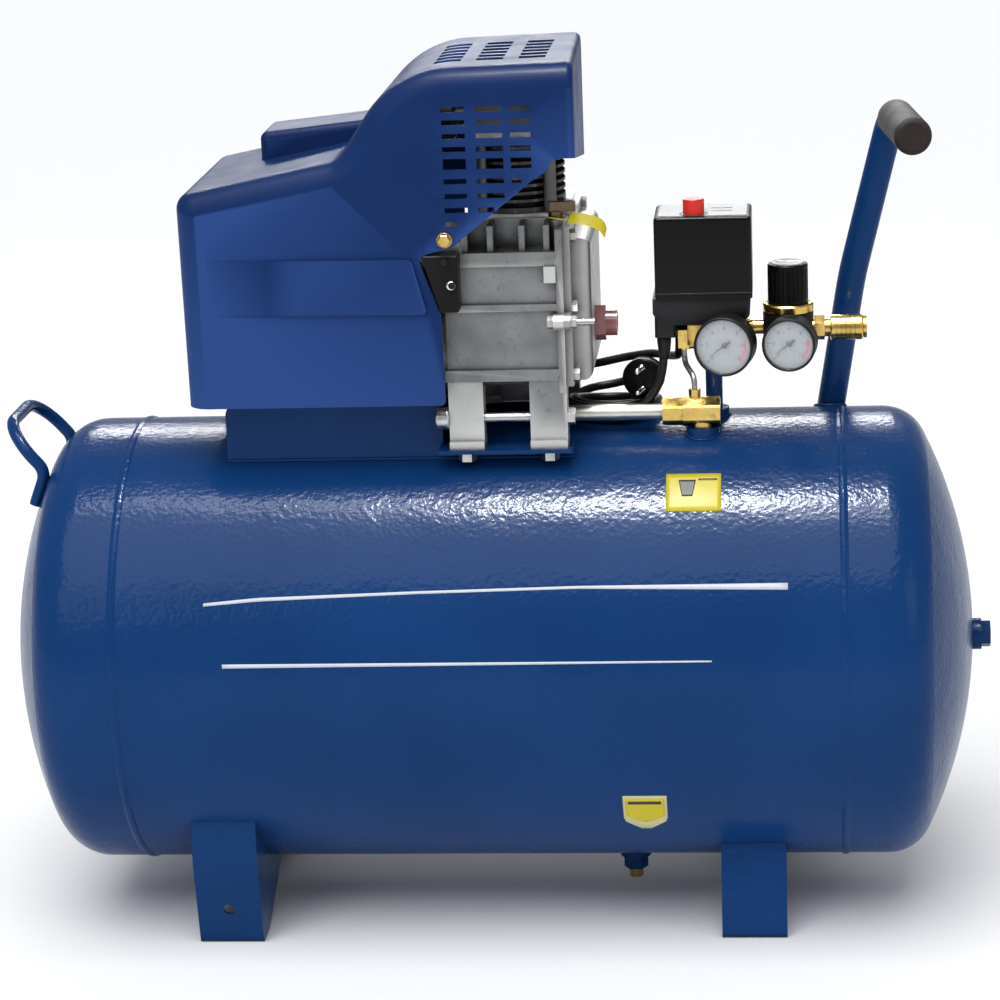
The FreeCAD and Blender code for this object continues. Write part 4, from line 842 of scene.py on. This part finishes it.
def add_welds():
    weld_bead("pipe_socket_weld", ring_around(202, 0, 13.4), 0.0014, 3, True)
    weld_bead("valve_socket_weld", ring_around(192, -45, 14.4), 0.0014, 3, True)
    weld_bead("drain_socket_weld", ring_around(122, -8, 14.4, side=-1), 0.0014, 5, True)
    weld_bead("push_handle_weld", ring_around(304.5, 58, 13.2, 0.6), 0.0018, 7, True)
    rail_y = 79.6
    height = math.sqrt((TANK_R + 0.5) ** 2 - rail_y ** 2)
    for name, side, seed in (("rail_weld_front", -1, 10), ("rail_weld_rear", 1, 12)):
        rail = [at(-222 + 304 * i / 20, side * rail_y, height) for i in range(21)]
        weld_bead(name, rail, 0.0014, seed)


def hexagon_bolt(name, place, direction, flats, height, washer, material):
    """A hexagon head on a round washer."""
    across = flats / math.sqrt(3.0)
    build = bmesh.new()
    add_lathe(build, [(0.0, washer), (0.0012, washer), (0.0012, washer * 0.7)], place, direction, 32)
    profile = [(0.0012, across), (height * 0.86, across), (height, across * 0.86)]
    add_lathe(build, profile, place, direction, 6)
    piece = from_bmesh(name, build, material, "frame", False)
    return add_bevel(piece, 0.0003, 2)


def add_guide_screws():
    """The screws that hold the shroud and the black guide, on their front faces."""
    forward = (0, -1, 0)
    hexagon_bolt("shroud_screw", at(-19, -121, 383.5), forward, 0.010, 0.006, 0.0066,
                 MATERIALS["brass_fittings"])
    head = [(0.0, 0.0042), (0.0012, 0.0042), (0.0020, 0.0034), (0.0024, 0.0016)]
    lathe("guide_screw", head, at(-15, -121, 344.6), forward, MATERIALS["bright_zinc"],
          "frame", 24)


def add_oil_tag():
    """A plain yellow tag, bent over, on a loop round the filler plug's stem."""
    line = [at(83, -81, 392.5), at(92, -83, 394), at(104, -83, 390.5), at(112, -82, 387), at(115, -80, 379)]
    half_width = Vector((0.001, 0.0055, 0.0040))
    build = bmesh.new()
    rows = [[build.verts.new(point + half_width * k) for k in (-1.0, -0.4, 0.4, 1.0)] for point in line]
    for a, b in zip(rows, rows[1:]):
        for k in range(3):
            build.faces.new((a[k], a[k + 1], b[k + 1], b[k]))
    tag = from_bmesh("oil_tag", build, YELLOW)
    card = tag.modifiers.new("card", "SOLIDIFY")
    card.thickness = 0.0006
    curl = tag.modifiers.new("curl", "SUBSURF")
    curl.levels = 2
    curl.render_levels = 2
    loop = []
    for i in range(24):
        angle = 2 * math.pi * i / 24
        height = 392.6 + 0.8 * math.sin(angle * 2)
        loop.append(at(76 + 10.4 * math.cos(angle), -74 + 9.0 * math.sin(angle), height))
    loop.append(loop[0].copy())
    build = bmesh.new()
    add_tube(build, loop, [0.0006] * len(loop), 8)
    from_bmesh("oil_tag_loop", build, YELLOW)


def add_switch_trim():
    """The grey plate on the switch's top with its marks, and the shadow line round the cover."""
    switch_x, switch_y, switch_top = 195.5, -11.5, 385.25
    build = bmesh.new()
    add_block(build, at(switch_x, switch_y, switch_top), (0.076, 0.0565, 0.0006))
    plate = from_bmesh("switch_top_label", build, GREY_LABEL, "frame", False)
    add_bevel(plate, 0.00025)
    build = bmesh.new()
    for k in range(2):
        add_block(build, at(212, -18 + 14 * k, switch_top + 0.4), (0.018, 0.0022, 0.0003))
    ring = [(0.0, 0.0124), (0.0004, 0.0124), (0.0004, 0.0108), (0.0, 0.0108)]
    add_lathe(build, ring, at(188, -31, switch_top + 0.25), (0, 0, 1), 40, True)
    from_bmesh("switch_top_marks", build, INK, "frame", False)
    # Painted shadow: two black strips stand for the shadow line round the cover.
    build = bmesh.new()
    for y in (-45.2, 22.2):
        add_block(build, at(switch_x, y, 318.0), (0.0836, 0.0012, 0.0016))
    shadow_line = from_bmesh("switch_shadow_line", build, MATERIALS["black_plastic"], "frame", False)
    add_bevel(shadow_line, 0.0004)


def add_regulator_trim():
    cap = [(0.0, 0.0148), (0.0006, 0.0150), (0.0012, 0.0144), (0.0014, 0.0110), (0.0010, 0.0104),
           (0.0012, 0.0006)]
    lathe("regulator_cap", cap, at(268, -10, 336.9), (0, 0, 1), GREY_LABEL,
          "regulator_dial", 48)


def write_sizes():
    bpy.context.view_layer.update()


add_camera()
add_mains_lead()
add_stage()
dress_nodes()
add_gauge("tank_gauge", (224.0, -13.0, 277.0), 11.0, 25.5, "frame", "tank_needle", 12)
add_gauge("outlet_gauge", (274.0, -31.0, 277.5), 8.0, 22.8, "frame", "outlet_needle", 12)
add_labels()
add_welds()
add_guide_screws()
add_oil_tag()
add_switch_trim()
add_regulator_trim()
write_sizes()
